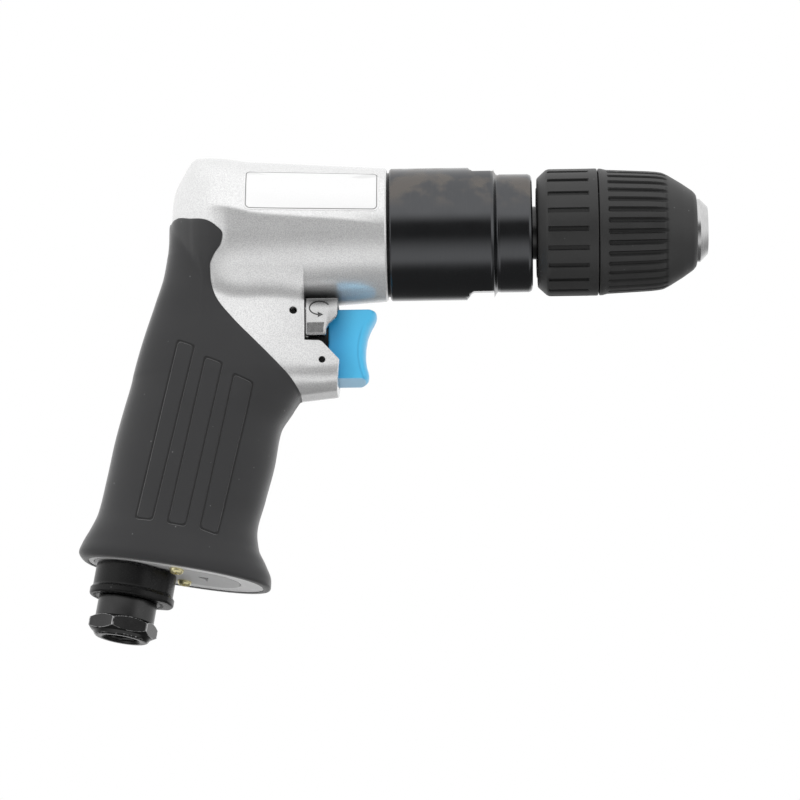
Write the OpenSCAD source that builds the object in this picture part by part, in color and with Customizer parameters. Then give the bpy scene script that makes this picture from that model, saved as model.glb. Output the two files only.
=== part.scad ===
// Pistol-grip air drill with a keyless chuck. Sizes in millimetres.
// Origin in the middle of the chuck's nose face, +X along the spindle toward the bit, +Z up.

/* [Chuck] */
// Outside diameter of the chuck sleeves
chuck_d = 42.6; // [41.6:0.2:44.6]
// Length of the chuck from nose face to back edge
chuck_len = 57.4; // [57:0.2:60]
// Diameter of the bright steel nose
nose_d = 21.2; // [20.4:0.2:21.4]
// Bore for the drill bit with the jaws drawn back
bit_d = 10.5; // [9.6:0.1:10.6]
// Diameter of a jaw
jaw_d = 5.8; // [5.4:0.1:5.9]
// Number of grooves round the front sleeve
front_grooves = 34; // [24:1:36]
// Number of grooves round the rear sleeve
rear_grooves = 21; // [14:1:24]

/* [Gear case] */
// Length of the gear case that shows
case_len = 47.6; // [47.6:0.2:50]
// Diameter of its front collar
collar_d = 39.6; // [36:0.2:41]
// Distance across its two wrench flats
flats_w = 40.2; // [39.6:0.2:42]

/* [Motor housing] */
// Diameter of the barrel at its front end
barrel_d = 43.8; // [43.2:0.2:45]
// Diameter of the barrel at its back end
barrel_back_d = 48.8; // [47:0.2:50]
// Length of the cylinder liner
liner_len = 33; // [31:0.5:33.5]
// Number of vanes in the rotor
vanes = 5; // [4:1:6]

/* [Handle] */
// Half width of the grip at its waist
grip_half_w = 17.3; // [16.9:0.1:18.5]
// Thickness of the rubber
rubber_t = 2.2; // [1.6:0.1:2.4]
// Lean of the base of the handle
base_tilt = 10; // [9.8:0.1:10.4]

/* [Trigger and reverse lever] */
// Width of the trigger
trigger_w = 12.6; // [9:0.2:12.8]
// Travel of the trigger
trigger_travel = 4.5; // [3:0.1:4.6]
// Width of the reverse lever
lever_w = 21.8; // [21.2:0.2:22.2]

/* [Air inlet] */
// Distance across the hexagon
hex_w = 19.5; // [18.5:0.5:20]
// Minor diameter of the female inlet thread, one quarter inch parallel
inlet_thread_d = 11.44; // [11:0.02:11.6]
// Diameter of the regulator ring
ring_d = 23.2; // [22:0.2:24]

/* [Gears] */
// Thinning of each tooth for play
backlash = 0.15; // [0.12:0.01:0.2]

/* [Hidden] */
$fn = 64;
eps = 0.01;
fit = 0.03;
slide_fit = 0.06;
through = 60;

// Stations along the barrel, from the nose back
nose_len = 3.7;
split_x = -35.3;
split_gap = 0.3;
neck_gap = 1.3;
gasket_t = 0.8;
chuck_r = chuck_d / 2;
nose_r = nose_d / 2;
chuck_x = -chuck_len;
case_front_x = chuck_x - neck_gap;
case_back_x = case_front_x - case_len;
barrel_x = case_back_x - gasket_t;
case_step = 0.1;
case_r = barrel_d / 2 + case_step;
spigot_len = 9.9;
plate_x = barrel_x - spigot_len;
front_plate_t = 10;
liner_x = plate_x - front_plate_t;
liner_back_x = liner_x - liner_len;
rear_plate_t = 4;
rear_boss_t = 6;
rear_plate_x = liner_back_x - rear_plate_t;
rear_boss_x = rear_plate_x - rear_boss_t;

// Barrel: a cone to the back, and the place under it that the handle's drawing hangs from
drawn_face_x = -107.1;
drawn_front_d = 43.8;
drawn_back_d = 48.8;
barrel_wall = 2.9;
cone_len = 50.9;
lever_from_face = 22.9;
barrel_end_x = barrel_x - cone_len;
drawn_under_r = (drawn_front_d + (drawn_back_d - drawn_front_d) * lever_from_face / cone_len) / 2;
barrel_slope = (barrel_back_d - barrel_d) / 2 / cone_len;
under_r = barrel_d / 2 + lever_from_face * barrel_slope;
move_x = barrel_x - drawn_face_x;
move_z = drawn_under_r - under_r;
move = [move_x, move_z];
move_box = [move_x, move_x, move_z, move_z];
function moved(points) = [for (p = points) p + move];

// Jaws: three round bars that lean inward toward the nose
jaw_r = jaw_d / 2;
jaw_lean = 15;
jaw_len = 27;
jaw_tip_x = -12;
jaw_axis_nose = 1.9;
jaw_start_gap = 0.05;
jaw_flat = bit_d / 2 + jaw_start_gap;
jaw_v = jaw_flat - 0.25;
jaw_v_slope = tan(30);
jaw_count = 3;

// Chuck body and the pieces round it
flange_r = 15;
flange_x = -41;
body_r = 13;
race_x = -24;
race_t = 1;
thrust_ball_r = 0.83;
thrust_balls_n = 16;
thrust_ring_r = 13.6;
nut_back_x = race_x + race_t + 2 * thrust_ball_r + 0.04;
nut_front_x = -13.5;
nut_r = 16;
nut_bore_r = 11;
groove_r = 9.6;
race_bore_r = 11.9;
race_r = 15.2;
sleeve_bore_r = 18.2;
nose_gap = 0.4;
web_back_x = -44;
web_front_x = -40;
bore_end_x = -36.2;
screw_head_r = 4.6;
screw_head_t = 3.4;
screw_r = 2.5;
screw_end_x = -54;
screw_key_w = 4;
spindle_nose_r = 4.76;

// Spindle and gears
collar_r = 8.9;
spindle_collar_x = chuck_x - 3;
journal_r = 6;
bearing_w = 8;
front_bearing_x = case_front_x - 3.3;
boss_r = 7.4;
sun_z = 9;
planet_z = 15;
ring_z = 39;
pressure = 25;
planet_count = 3;
motor_bore_r = barrel_d / 2 - barrel_wall;
spigot_wall = 1;
gear_seat_r = motor_bore_r - spigot_wall;
ring_wall = 1.536;
root_share = 1.08;
gear_m = (gear_seat_r - ring_wall) / (ring_z / 2 + root_share);
gear_add = 0.8 * gear_m;
gear_ded = root_share * gear_m;
planet_orbit = gear_m * (sun_z + planet_z) / 2;
carrier_r = planet_orbit + 3.9;
carrier_t = 5;
pin_r = 2;
gear_seat_x = barrel_x + 8.6;
bearing_seat_r = 14;
carrier_x = plate_x + 15.5;
planet_x = plate_x + 4.2;
planet_w = 9.8;
ring_x = plate_x + 0.4;
ring_w = 17;
cage_x = plate_x + 1.8;
cage_t = 1.6;
rear_bearing_x = carrier_x + carrier_t + 2.1;
clip_x = rear_bearing_x - 1.5;
clip_t = 1.2;
clip_r = 14.7;
clip_bore_r = 12.2;
spacer_bore_r = 12.4;

// Motor
motor_r = motor_bore_r - 0.1;
liner_wall = 3.9;
rotor_play = 2;
rotor_gap = 0.3;
liner_bore_r = motor_r - liner_wall;
rotor_r = liner_bore_r - rotor_play;
liner_offset = 1.8;
shaft_front_r = 4;
shaft_rear_r = 3;
vane_t = 2;
vane_h = 6.2;
vane_play = 0.05;
dowel_r = 1.3;
dowel_z = motor_r - 2.9;
port_r = 1.6;
rear_pocket_r = 12;
pinion_stub_r = 2.4;
pinion_stub_len = 4;

// Bearings: bore radius, outside radius, width, ball radius, ball circle, ball count
small_bearing = [3, 9.5, 6, 1.7, 6.25, 7];
middle_bearing = [4, 11, 7, 1.9, 7.5, 7];
large_bearing = [6, 14, 8, 2.3, 10, 8];
race_depth = 0.28;

// Handle stations from base to barrel: back x, z, front x, z, half width, roundness
waist = grip_half_w;
base_back = [-208.3, -110] + move;
base_front_x = -146.6 + move_x;
base_front_z = base_back[1] - (base_front_x - base_back[0]) * tan(base_tilt);
base_row = [base_back[0], base_back[1], base_front_x, base_front_z, waist + 1.2, 2.3];
below = 2;
below_row = base_row - below * [sin(base_tilt), cos(base_tilt), sin(base_tilt), cos(base_tilt), 0, 0];
row_move = [move_x, move_z, move_x, move_z, 0, 0];
upper_rows = [
    [-209.7, -107.6, -146.4, -117.7, waist + 1.6, 2.3],
    [-208.6, -104.6, -148, -112.8, waist + 1.3, 2.3],
    [-205.9, -100, -150.4, -107.3, waist + 0.7, 2.4],
    [-203.5, -95, -151, -102, waist + 0.3, 2.4],
    [-200.6, -83, -148.3, -90.5, waist, 2.5],
    [-198, -70.5, -145.2, -78.8, waist, 2.5],
    [-195.2, -60, -142.6, -67, waist, 2.6],
    [-193, -52.5, -136.6, -59, waist - 0.1, 2.8],
    [-190.8, -44, -133.8, -50, waist - 0.3, 3.2],
    [-188, -34.5, -135, -38, waist - 0.5, 3.5],
    [-184.8, -24.5, -134.9, -27, waist - 0.8, 3.5],
    [-181.3, -14, -134.9, -15, waist - 1.1, 3.2],
    [-179.7, -4, -135.3, -4, waist - 1.8, 2.8],
    [-179, 2, -137, 2, waist - 3, 2.6],
    [-178.4, 6, -140, 6, waist - 4, 2.6]
];
handle_rows = concat([base_row], [for (row = upper_rows) row + row_move]);
handle_sides = 40;
metal_inset = -0.5;

// Edge of the rubber in the side view, from the back of the barrel down to the lug
rubber_edge = moved([
    [-186, 5], [-177, 4.6], [-172.5, 2.6], [-167.5, 0.3], [-164.2, -2.4], [-162.4, -5.6],
    [-163, -8.4], [-164.9, -11.5], [-166.2, -14.5], [-166.6, -18], [-166, -21.2], [-164, -24.9],
    [-158.8, -32.2], [-152.8, -39.5], [-146.2, -46.4], [-140.3, -52.4], [-137.3, -56], [-135.6, -58.4]
]);

edge_top = rubber_edge[0];
edge_low = rubber_edge[len(rubber_edge) - 1];
edge_front = 10.6;
edge_over = 7;
edge_far = 20;
metal_area = concat(rubber_edge, [
    edge_low + [edge_front, 0],
    [edge_low[0] + edge_front, edge_top[1] + edge_over],
    edge_top + [0, edge_over]
]);
rubber_area = concat(rubber_edge, [
    edge_low + [edge_front, 0],
    [edge_low[0] + edge_front, base_front_z - edge_far],
    [base_back[0] - edge_far, base_front_z - edge_far],
    [base_back[0] - edge_far, edge_top[1]]
]);

// Back of the barrel: x, half width, top, bottom
back_scale = barrel_back_d / drawn_back_d;
drawn_cap_rows = [
    [-154, 23.4, 23.6, -23.4],
    [-158, 24.2, 24.7, -23.5],
    [-164, 22.6, 25.1, -22],
    [-169, 18.8, 25.2, -19],
    [-172.3, 15.5, 23.8, -15],
    [-174.3, 12.8, 19.8, -11],
    [-176.2, 9.6, 15.1, -8],
    [-177.2, 6.5, 10.5, -5],
    [-177.8, 3.5, 7, -2]
];
cap_rows = [
    for (row = drawn_cap_rows)
        [row[0] + move_x, row[1] * back_scale, row[2] * back_scale, row[3] * back_scale]
];
cap_roundness = 2.1;

// Base of the handle: the inlet axis crosses the base plane here
base_x = -191.6 + move_x;
base_z = base_back[1] - (base_x - base_back[0]) * tan(base_tilt);
inlet_bore_r = 6.2;
inlet_top = 82.4;
bush_r = 8.2;
bush_len = 15;
seal_wire_r = 0.9;
seal_r = 7;
neck_r = 9.7;
ring_seat_r = 9;
ring_len = 10.8;
neck_len = 18;
hex_len = 4.6;
hex_turn = 13;
end_collar_r = 9;
inlet_len = 24.7;
thread_len = 13;
bush_bore_r = 5;
screen_t = 1;
screen_hole_r = 0.8;
screen_z = -11.5;
ring_flange_r = 12.5;
ring_flange_t = 2.6;
ring_top = -0.25;
ring_gap = 0.2;
tab_r = 15;
tab_root = [4, 10.5];
tab_end = [15.5, 6.8];
vents = 20;
vent_r = 0.75;
vent_ring_r = 10.3;
base_plate_t = 1.6;
plate_ends = [[0, 13.2], [25, 11.4]];
plate_hole_r = 8.4;
duct_r = vent_ring_r + vent_r + 0.3;
duct_w = 12;
duct_h = 2.4;
base_screw = [15.7, 9.2];
base_screw_head_r = 2.1;
base_screw_head_t = 1.5;
base_screw_r = 1.25;
base_screw_len = 8;
chamber = [17.5, 31.5];
chamber_w = 20;
chamber_top = 52;
muffler_base = 2.4;
muffler_top = 24;
muffler_gap = 0.05;

// Trigger, reverse lever and valves, on an axis below the barrel
valve_z = -38 + move_z;
valve_bore_r = 8.6;
valve_face_x = -135.4 + move_x;
seat_depth = 27.6;
seat_x = valve_face_x - seat_depth;
seat_t = 3;
seat_bore_r = 4.2;
chamber_r = 6.6;
chamber_len = 13;
chamber_end_x = seat_x - chamber_len;
spring_hole_r = 4.4;
spring_hole_len = 4.8;
spring_end_x = chamber_end_x - spring_hole_len;
stem_r = 1.75;
stem_front_x = -117 + move_x;
stem_over = 3.2;
stem_back_x = seat_x - stem_over;
disc_r = 5.4;
disc_t = 2.4;
disc_gap = 0.2;
spring_r = 3.4;
wire_r = 0.5;
spring_turns = 5.5;
rings_per_turn = 8;
wire_sides = 6;
trigger_outline = moved([
    [-126.3, -31.5], [-125, -29.6], [-124.4, -27.6], [-112.3, -27.6], [-110.9, -28.4], [-110.7, -29.8],
    [-111.6, -32.4], [-113, -35.6], [-113.9, -39.8], [-114.2, -44.5], [-113.8, -47.3], [-113.2, -48.6],
    [-113.6, -50.2], [-115, -51], [-126.3, -51]
]);
trigger_round_r = 9.2;
trigger_round_x = -119.9 + move_x;
tail = [-132.3, -125, -48.2, -43.2] + move_box;
tail_w = 6;
pin_slot_h = 2.6;
trigger_pin = [-129.2, -45.5] + move;
trigger_pin_r = 1;
lever_pin = [-138.7, -29.9] + move;
lever_pin_r = 1.2;
lever_pin_half = 12.2;
lug_half_w = 11.7;
lug_outline = moved([
    [-143, -36], [-136, -39.1], [-131.2, -39.2], [-129.6, -40], [-124.5, -45.4], [-124.5, -54.8],
    [-136, -56], [-143, -58]
]);
slot_back_x = -137.5 + move_x;
slot_bottom_z = -51.6 + move_z;
slot_top_z = -30 + move_z;
slot_gap = 0.4;
lever_outline = moved([
    [-135.1, -24.7], [-124.9, -24.7], [-124.9, -28.9], [-126.4, -30.8], [-127.8, -33], [-128.7, -34.8],
    [-128.7, -36.8], [-135.1, -36.8]
]);
lever_wall = 2.15;
lever_bridge = 1.6;
lever_back_t = 1.2;
guide = [-129.2, -126.3, -42.4, -30] + move_box;
guide_w = 12;
hub_r = 4.5;
spigot_r = 4.9;
spool_r = valve_bore_r - slide_fit;
spool_bore_r = 5;
spool_seat_gap = 0.5;
spool_end_x = seat_x + seat_t + spool_seat_gap;
spool_front_x = valve_face_x + 0.1;
spool_groove = [-140.4, -137] + [move_x, move_x];
spool_notch = [4.9, 4.4];
spigot_end_x = valve_face_x - 2.6;
spool_groove_r = 6.4;
stem_clear_r = 2.1;
feed_x = [-145, -153] + [move_x, move_x];
feed_r = 2.2;
exhaust_y = 11.4;
exhaust_r = 1.9;
exhaust_x = -158.5 + move_x;
exhaust_end_z = -70 + move_z;

// Label on the near side of the barrel
label_x = [-153.8, -109.8] + [move_x, move_x];
label_from = 8;
label_angle = 43;
label_t = 0.3;
label_gap = 0.05;

// Engraved outlines on the grip: centres of their four corner arcs
drawn_marks = [
    [[-175.3, -41], [-172.2, -42.6], [-185.2, -98.9], [-188.3, -98.6]],
    [[-166.2, -46.9], [-162.9, -48.7], [-174.4, -101.1], [-177.8, -100.5]],
    [[-156.8, -52.9], [-152.8, -55.4], [-164, -103.9], [-167.3, -102.4]]
];
grip_marks = [for (mark = drawn_marks) moved(mark)];
mark_r = 1.3;
mark_w = 0.7;
mark_depth = 0.5;

// Finish colours
silver = [0.80, 0.80, 0.81];
steel = [0.66, 0.67, 0.69];
dark_steel = [0.16, 0.16, 0.17];
black = [0.09, 0.09, 0.10];
rubber = [0.20, 0.20, 0.21];
sleeve_grey = [0.22, 0.22, 0.23];
blue = [0.26, 0.65, 0.85];
brass = [0.80, 0.64, 0.30];
white = [0.95, 0.95, 0.95];
felt = [0.55, 0.53, 0.48];

// Turns a shape drawn along Z so that it runs along X from x
module along_x(x = 0) {
    translate([x, 0, 0])
    rotate([0, 90, 0])
    children();
}

// A round bar along X between two stations
module bar_x(x0, x1, r) {
    along_x(x0)
    cylinder(r = r, h = x1 - x0);
}

// A tube along X between two stations
module tube_x(x0, x1, r, bore) {
    difference() {
        bar_x(x0, x1, r);
        bar_x(x0 - 1, x1 + 1, bore);
    }
}

// A turned shape from points given as radius and x
module turned(points) {
    along_x()
    rotate_extrude()
    polygon(points);
}

// A side-view outline given as x and z, made w thick about the middle plane
module side_plate(points, w) {
    rotate([90, 0, 0])
    linear_extrude(w, center = true)
    polygon(points);
}

// Shapes drawn in the frame of the handle's base, Z along the inlet axis
module at_base() {
    translate([base_x, 0, base_z])
    rotate([0, base_tilt, 0])
    children();
}

// Copies around the barrel axis
module around_x(count, start = 0) {
    for (i = [0:count - 1])
        rotate([start + i * 360 / count, 0, 0])
        children();
}

// A power that keeps the sign of its base
function signed_pow(v, p) = sign(v) * pow(abs(v), p);

// One ring of the handle, grown by d
function handle_ring(row, d) = [
    for (i = [0:handle_sides - 1])
        let (
            t = (i + 0.5) * 360 / handle_sides,
            dx = row[2] - row[0],
            dz = row[3] - row[1],
            half = norm([dx, dz]) / 2,
            along = (half + d) * signed_pow(cos(t), 2 / row[5]) / (2 * half),
            side = (row[4] + d) * signed_pow(sin(t), 2 / row[5])
        )
        [(row[0] + row[2]) / 2 + dx * along, side, (row[1] + row[3]) / 2 + dz * along]
];

// One ring of the barrel's back
function cap_ring(row) = [
    for (i = [0:handle_sides - 1])
        let (
            t = -(i + 0.5) * 360 / handle_sides,
            up = (row[2] - row[3]) / 2,
            mid = (row[2] + row[3]) / 2
        )
        [
            row[0],
            row[1] * signed_pow(cos(t), 2 / cap_roundness),
            mid + up * signed_pow(sin(t), 2 / cap_roundness)
        ]
];

// A skin over rings of equal count, closed at both ends
module skin(rings) {
    n = len(rings[0]);
    last = len(rings) - 1;
    points = [for (ring = rings) each ring];
    sides = [
        for (k = [0:last - 1])
            for (i = [0:n - 1])
                let (
                    a = k * n + i,
                    b = k * n + (i + 1) % n
                )
                each [[a, a + n, b], [b, a + n, b + n]]
    ];
    ends = [[for (i = [0:n - 1]) i], [for (i = [n - 1:-1:0]) last * n + i]];
    polyhedron(points, concat(sides, ends), convexity = 4);
}

// The handle's form, grown by d
module handle_form(d, rows = handle_rows) {
    skin([for (row = rows) handle_ring(row, d)]);
}

// Involute helpers, in degrees
function involute(a) = tan(a) * 180 / PI - a;
function tooth_half(z, r, thin) =
    let (rp = gear_m * z / 2, rb = rp * cos(pressure))
    90 / z - thin / (2 * rp) * 180 / PI + involute(pressure) - involute(acos(min(1, rb / max(r, rb))));

// Outline of a gear with z teeth between two radii, each tooth thinned
function gear_points(z, tip, root, thin) =
    let (
        rb = gear_m * z / 2 * cos(pressure),
        low = max(root, rb),
        steps = [0, 0.34, 0.67, 1],
        radii = [for (s = steps) low + (tip - low) * s]
    )
    [
        for (k = [0:z - 1])
            let (mid = k * 360 / z)
            each concat(
                root < rb ? [polar(root, mid - tooth_half(z, rb, thin))] : [],
                [for (r = radii) polar(r, mid - tooth_half(z, r, thin))],
                [for (i = [len(radii) - 1:-1:0]) polar(radii[i], mid + tooth_half(z, radii[i], thin))],
                root < rb ? [polar(root, mid + tooth_half(z, rb, thin))] : []
            )
    ];
function polar(r, a) = [r * cos(a), r * sin(a)];

// A gear blank with teeth along X
module toothed(z, x, w) {
    rp = gear_m * z / 2;
    along_x(x)
    linear_extrude(w)
    polygon(gear_points(z, rp + gear_add, rp - gear_ded, backlash));
}

// Rings and balls of a bearing b that starts at x
module bearing_outer(b, x) {
    mid = b[2] / 2;
    along_x(x)
    rotate_extrude()
    difference() {
        translate([b[4] + b[3] * (1 - race_depth), 0])
        square([b[1] - fit - b[4] - b[3] * (1 - race_depth), b[2]]);
        translate([b[4], mid])
        circle(r = b[3] + slide_fit);
    }
}

module bearing_inner(b, x) {
    mid = b[2] / 2;
    along_x(x)
    rotate_extrude()
    difference() {
        translate([b[0] + fit, 0])
        square([b[4] - b[3] * (1 - race_depth) - b[0] - fit, b[2]]);
        translate([b[4], mid])
        circle(r = b[3] + slide_fit);
    }
}

module bearing_balls(b, x) {
    around_x(b[5])
    translate([x + b[2] / 2, 0, b[4]])
    sphere(r = b[3]);
}

// Outside of the housing apart from the handle: barrel, its back and the trigger lug
module body_form() {
    turned([
        [0, barrel_x], [barrel_d / 2 - 0.5, barrel_x], [barrel_d / 2, barrel_x - 0.6],
        [barrel_back_d / 2, barrel_end_x], [0, barrel_end_x]
    ]);
    skin([for (row = cap_rows) cap_ring(row)]);
    side_plate(lug_outline, 2 * lug_half_w);
}

// Housing: barrel, handle core, metal cheeks and the trigger lug, with every bore
module housing() {
    color(silver)
    difference() {
        union() {
            body_form();
            handle_form(-rubber_t);
            intersection() {
                handle_form(metal_inset);
                side_plate(metal_area, through);
            }
        }
        housing_bores();
    }
}

module housing_bores() {
    bar_x(rear_plate_x - 0.1, barrel_x + 1, motor_bore_r);
    bar_x(barrel_x - spigot_len, barrel_x + 1, motor_bore_r + spigot_wall);
    bar_x(rear_boss_x - 1, rear_plate_x, rear_pocket_r + 0.1);
    translate([0, 0, valve_z]) {
        bar_x(seat_x - 0.2, valve_face_x + 1, valve_bore_r);
        bar_x(chamber_end_x, seat_x, chamber_r);
        bar_x(spring_end_x, chamber_end_x + 1, spring_hole_r);
    }
    translate([slot_back_x, -trigger_w / 2 - slot_gap, slot_bottom_z])
    cube([through / 2, trigger_w + 2 * slot_gap, slot_top_z - slot_bottom_z]);
    for (x = feed_x)
        translate([x, 0, valve_z])
        cylinder(r = feed_r, h = -valve_z - rotor_r);
    for (side = [-1, 1])
        translate([exhaust_x, side * exhaust_y, exhaust_end_z])
        cylinder(r = exhaust_r, h = -exhaust_end_z - rotor_r);
    at_base() {
        translate([0, 0, -1])
        cylinder(r = bush_r + fit, h = bush_len + 2 * seal_wire_r + 1);
        cylinder(r = inlet_bore_r, h = inlet_top);
        translate([0, 0, -through / 2])
        linear_extrude(through / 2 + base_plate_t)
        base_outline(0.1);
        translate([chamber[0], -chamber_w / 2, 0])
        cube([chamber[1] - chamber[0], chamber_w, chamber_top]);
        cylinder(r = duct_r, h = base_plate_t + duct_h);
        translate([0, -duct_w / 2, 0])
        cube([chamber[0] + 1, duct_w, base_plate_t + duct_h]);
        base_screws_at()
        cylinder(r = base_screw_r + fit, h = base_screw_len + 1);
    }
    cross_hole(lever_pin, lever_pin_r + fit);
    cross_hole(trigger_pin, trigger_pin_r + fit);
}

// A hole across the housing at x and z
module cross_hole(at, r) {
    translate([at[0], 0, at[1]])
    rotate([90, 0, 0])
    cylinder(r = r, h = through, center = true);
}

// Outline of the base plate, grown by d
module base_outline(d) {
    a = plate_ends[0];
    b = plate_ends[1];
    lean = asin((a[1] - b[1]) / (b[0] - a[0]));
    translate([a[0], 0])
    circle(r = a[1] + d);
    translate([b[0], 0])
    circle(r = b[1] + d);
    polygon([
        for (p = [[a, 1], [a, -1], [b, -1], [b, 1]])
            [p[0][0] + (p[0][1] + d) * sin(lean), p[1] * (p[0][1] + d) * cos(lean)]
    ]);
}

module base_screws_at() {
    for (side = [-1, 1])
        translate([base_screw[0], side * base_screw[1], 0])
        children();
}

// Exhaust holes round the inlet, through the base plate and the ring under it
module vent_holes(h) {
    for (i = [0:vents - 1])
        rotate([0, 0, i * 360 / vents])
        translate([vent_ring_r, 0, 0])
        cylinder(r = vent_r, h = h, $fn = 24);
}

// Rubber sleeve over the handle, with the engraved outlines on both sides
module grip_sleeve() {
    color(rubber)
    difference() {
        intersection() {
            handle_form(0);
            side_plate(rubber_area, through);
        }
        handle_form(-rubber_t, concat([below_row], handle_rows));
        body_form();
        difference() {
            rotate([90, 0, 0])
            linear_extrude(through, center = true)
            for (mark = grip_marks)
                mark_ring(mark);
            handle_form(-mark_depth);
        }
    }
}

// One engraved outline in the side view, as a ring round its four corner arcs
module mark_ring(mark) {
    difference() {
        mark_area(mark, mark_r + mark_w / 2);
        mark_area(mark, mark_r - mark_w / 2);
    }
}

module mark_area(mark, r) {
    hull()
    for (corner = mark)
        translate(corner)
        circle(r = r, $fn = 20);
}

// Label, bare, bent round the near side of the barrel
module label_plate() {
    r0 = barrel_d / 2 + (barrel_x - label_x[0]) * barrel_slope + label_gap;
    r1 = barrel_d / 2 + (barrel_x - label_x[1]) * barrel_slope + label_gap;
    color(white)
    along_x()
    rotate([0, 0, 270 - label_from - label_angle])
    rotate_extrude(angle = label_angle)
    polygon([[r0, label_x[0]], [r0 + label_t, label_x[0]], [r1 + label_t, label_x[1]], [r1, label_x[1]]]);
}

// Gear case: body, wrench flats, collar and the spigot that enters the housing
module gear_case() {
    shoulder_x = case_front_x - 11.6;
    flat_x = case_front_x - 21.9;
    flat_ramp = 1.9;
    flat_turn = 14;
    edge = 1.2;
    cr = collar_d / 2;
    color(black)
    difference() {
        turned([
            [0, plate_x], [motor_bore_r + spigot_wall - fit, plate_x],
            [motor_bore_r + spigot_wall - fit, case_back_x],
            [case_r - 0.5, case_back_x], [case_r, case_back_x + 0.6], [case_r, shoulder_x - edge - 1],
            [case_r - 0.5, shoulder_x - edge], [cr + 0.2, shoulder_x], [cr - 0.6, shoulder_x + 0.4],
            [cr, shoulder_x + edge], [cr, case_front_x - edge], [cr - 0.4, case_front_x - 0.4],
            [cr - edge, case_front_x], [0, case_front_x]
        ]);
        bar_x(plate_x - 1, gear_seat_x, gear_seat_r);
        bar_x(plate_x - 1, front_bearing_x, bearing_seat_r);
        bar_x(clip_x, clip_x + clip_t, clip_r);
        bar_x(plate_x - 1, case_front_x + 1, collar_r + 0.4);
        for (side = [0, 180])
            rotate([flat_turn + side, 0, 0])
            side_plate([
                [flat_x, case_r], [flat_x + flat_ramp, flats_w / 2], [shoulder_x, flats_w / 2],
                [shoulder_x, case_r + edge], [flat_x, case_r + edge]
            ], 2 * case_r);
    }
}

module case_gasket() {
    color(black)
    tube_x(barrel_x, case_back_x, case_r - 1.2, motor_bore_r + spigot_wall);
}

module ring_gear() {
    rp = gear_m * ring_z / 2;
    color(steel)
    difference() {
        bar_x(ring_x, ring_x + ring_w, gear_seat_r - fit);
        along_x(ring_x - 1)
        linear_extrude(ring_w + 2)
        polygon(gear_points(ring_z, rp + gear_ded, rp - gear_add, -backlash));
    }
}

module bearing_spacer() {
    color(steel)
    tube_x(rear_bearing_x + bearing_w, front_bearing_x - bearing_w, bearing_seat_r - fit, spacer_bore_r);
}

module bearing_retaining_ring() {
    color(dark_steel)
    tube_x(clip_x + fit, clip_x + clip_t - fit, clip_r - 0.1, clip_bore_r);
}

// Motor: liner with an eccentric bore and ports, end plates and dowel
module cylinder_liner() {
    port_x = [0.2, 0.35, 0.5, 0.65, 0.8];
    color(steel)
    difference() {
        bar_x(liner_back_x, liner_x, motor_r);
        translate([0, 0, -liner_offset])
        bar_x(liner_back_x - 1, liner_x + 1, liner_bore_r);
        dowel_hole();
        for (s = port_x)
            translate([liner_back_x + liner_len * s, 0, -motor_r - 1])
            cylinder(r = port_r, h = motor_r / 2);
    }
}

module dowel_hole() {
    translate([0, 0, dowel_z])
    bar_x(rear_plate_x + 1, liner_x + 6, dowel_r + fit);
}

module front_end_plate() {
    pocket = middle_bearing[2] + 0.4;
    color(steel)
    difference() {
        bar_x(liner_x, plate_x, motor_r);
        bar_x(plate_x - pocket, plate_x + 1, middle_bearing[1]);
        bar_x(liner_x - 1, plate_x, shaft_front_r + 0.5);
        dowel_hole();
    }
}

module rear_end_plate() {
    kidney_r = motor_r - 5.2;
    color(steel)
    difference() {
        union() {
            bar_x(rear_plate_x, liner_back_x, motor_r);
            bar_x(rear_boss_x, rear_plate_x + 1, rear_pocket_r);
        }
        bar_x(rear_boss_x - 1, rear_plate_x + 0.2, small_bearing[1]);
        bar_x(rear_plate_x - 1, liner_back_x + 1, shaft_rear_r + 0.5);
        dowel_hole();
        for (a = [60, 120, 240, 300])
            rotate([a, 0, 0])
            translate([0, 0, kidney_r])
            bar_x(rear_plate_x - 1, liner_back_x + 1, port_r);
    }
}

module dowel_pin() {
    color(dark_steel)
    translate([0, 0, dowel_z])
    bar_x(rear_plate_x + 1.2, liner_x + 5.8, dowel_r);
}

module rotor() {
    span = liner_len - 2 * rotor_gap;
    slot_depth = vane_h + 0.4;
    color(dark_steel)
    difference() {
        union() {
            bar_x(liner_back_x + rotor_gap, liner_x - rotor_gap, rotor_r);
            bar_x(liner_x - 1, plate_x - 0.3, shaft_front_r);
            bar_x(rear_boss_x + 0.3, liner_back_x + 1, shaft_rear_r);
        }
        around_x(vanes)
        translate([liner_back_x, -vane_t / 2 - vane_play, rotor_r - slot_depth])
        cube([span + 1, vane_t + 2 * vane_play, slot_depth + 1]);
        bar_x(plate_x - 0.3 - pinion_stub_len, plate_x, pinion_stub_r + fit);
    }
}

module rotor_vanes() {
    color(felt)
    around_x(vanes)
    translate([liner_back_x + rotor_gap, -vane_t / 2, rotor_r - vane_h - vane_play])
    cube([liner_len - 2 * rotor_gap, vane_t, vane_h]);
}

module sun_pinion() {
    teeth_x = plate_x + 3;
    teeth_w = planet_w + 1.4;
    color(steel) {
        toothed(sun_z, teeth_x, teeth_w);
        bar_x(plate_x - 0.2 - pinion_stub_len, teeth_x + 1, pinion_stub_r);
    }
}

module rear_rotor_bearing_outer() {
    color(steel)
    bearing_outer(small_bearing, rear_boss_x + 0.1);
}

module rear_rotor_bearing_inner() {
    color(steel)
    bearing_inner(small_bearing, rear_boss_x + 0.1);
}

module rear_rotor_bearing_balls() {
    color(steel)
    bearing_balls(small_bearing, rear_boss_x + 0.1);
}

module front_rotor_bearing_outer() {
    color(steel)
    bearing_outer(middle_bearing, plate_x - middle_bearing[2] - 0.2);
}

module front_rotor_bearing_inner() {
    color(steel)
    bearing_inner(middle_bearing, plate_x - middle_bearing[2] - 0.2);
}

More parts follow.
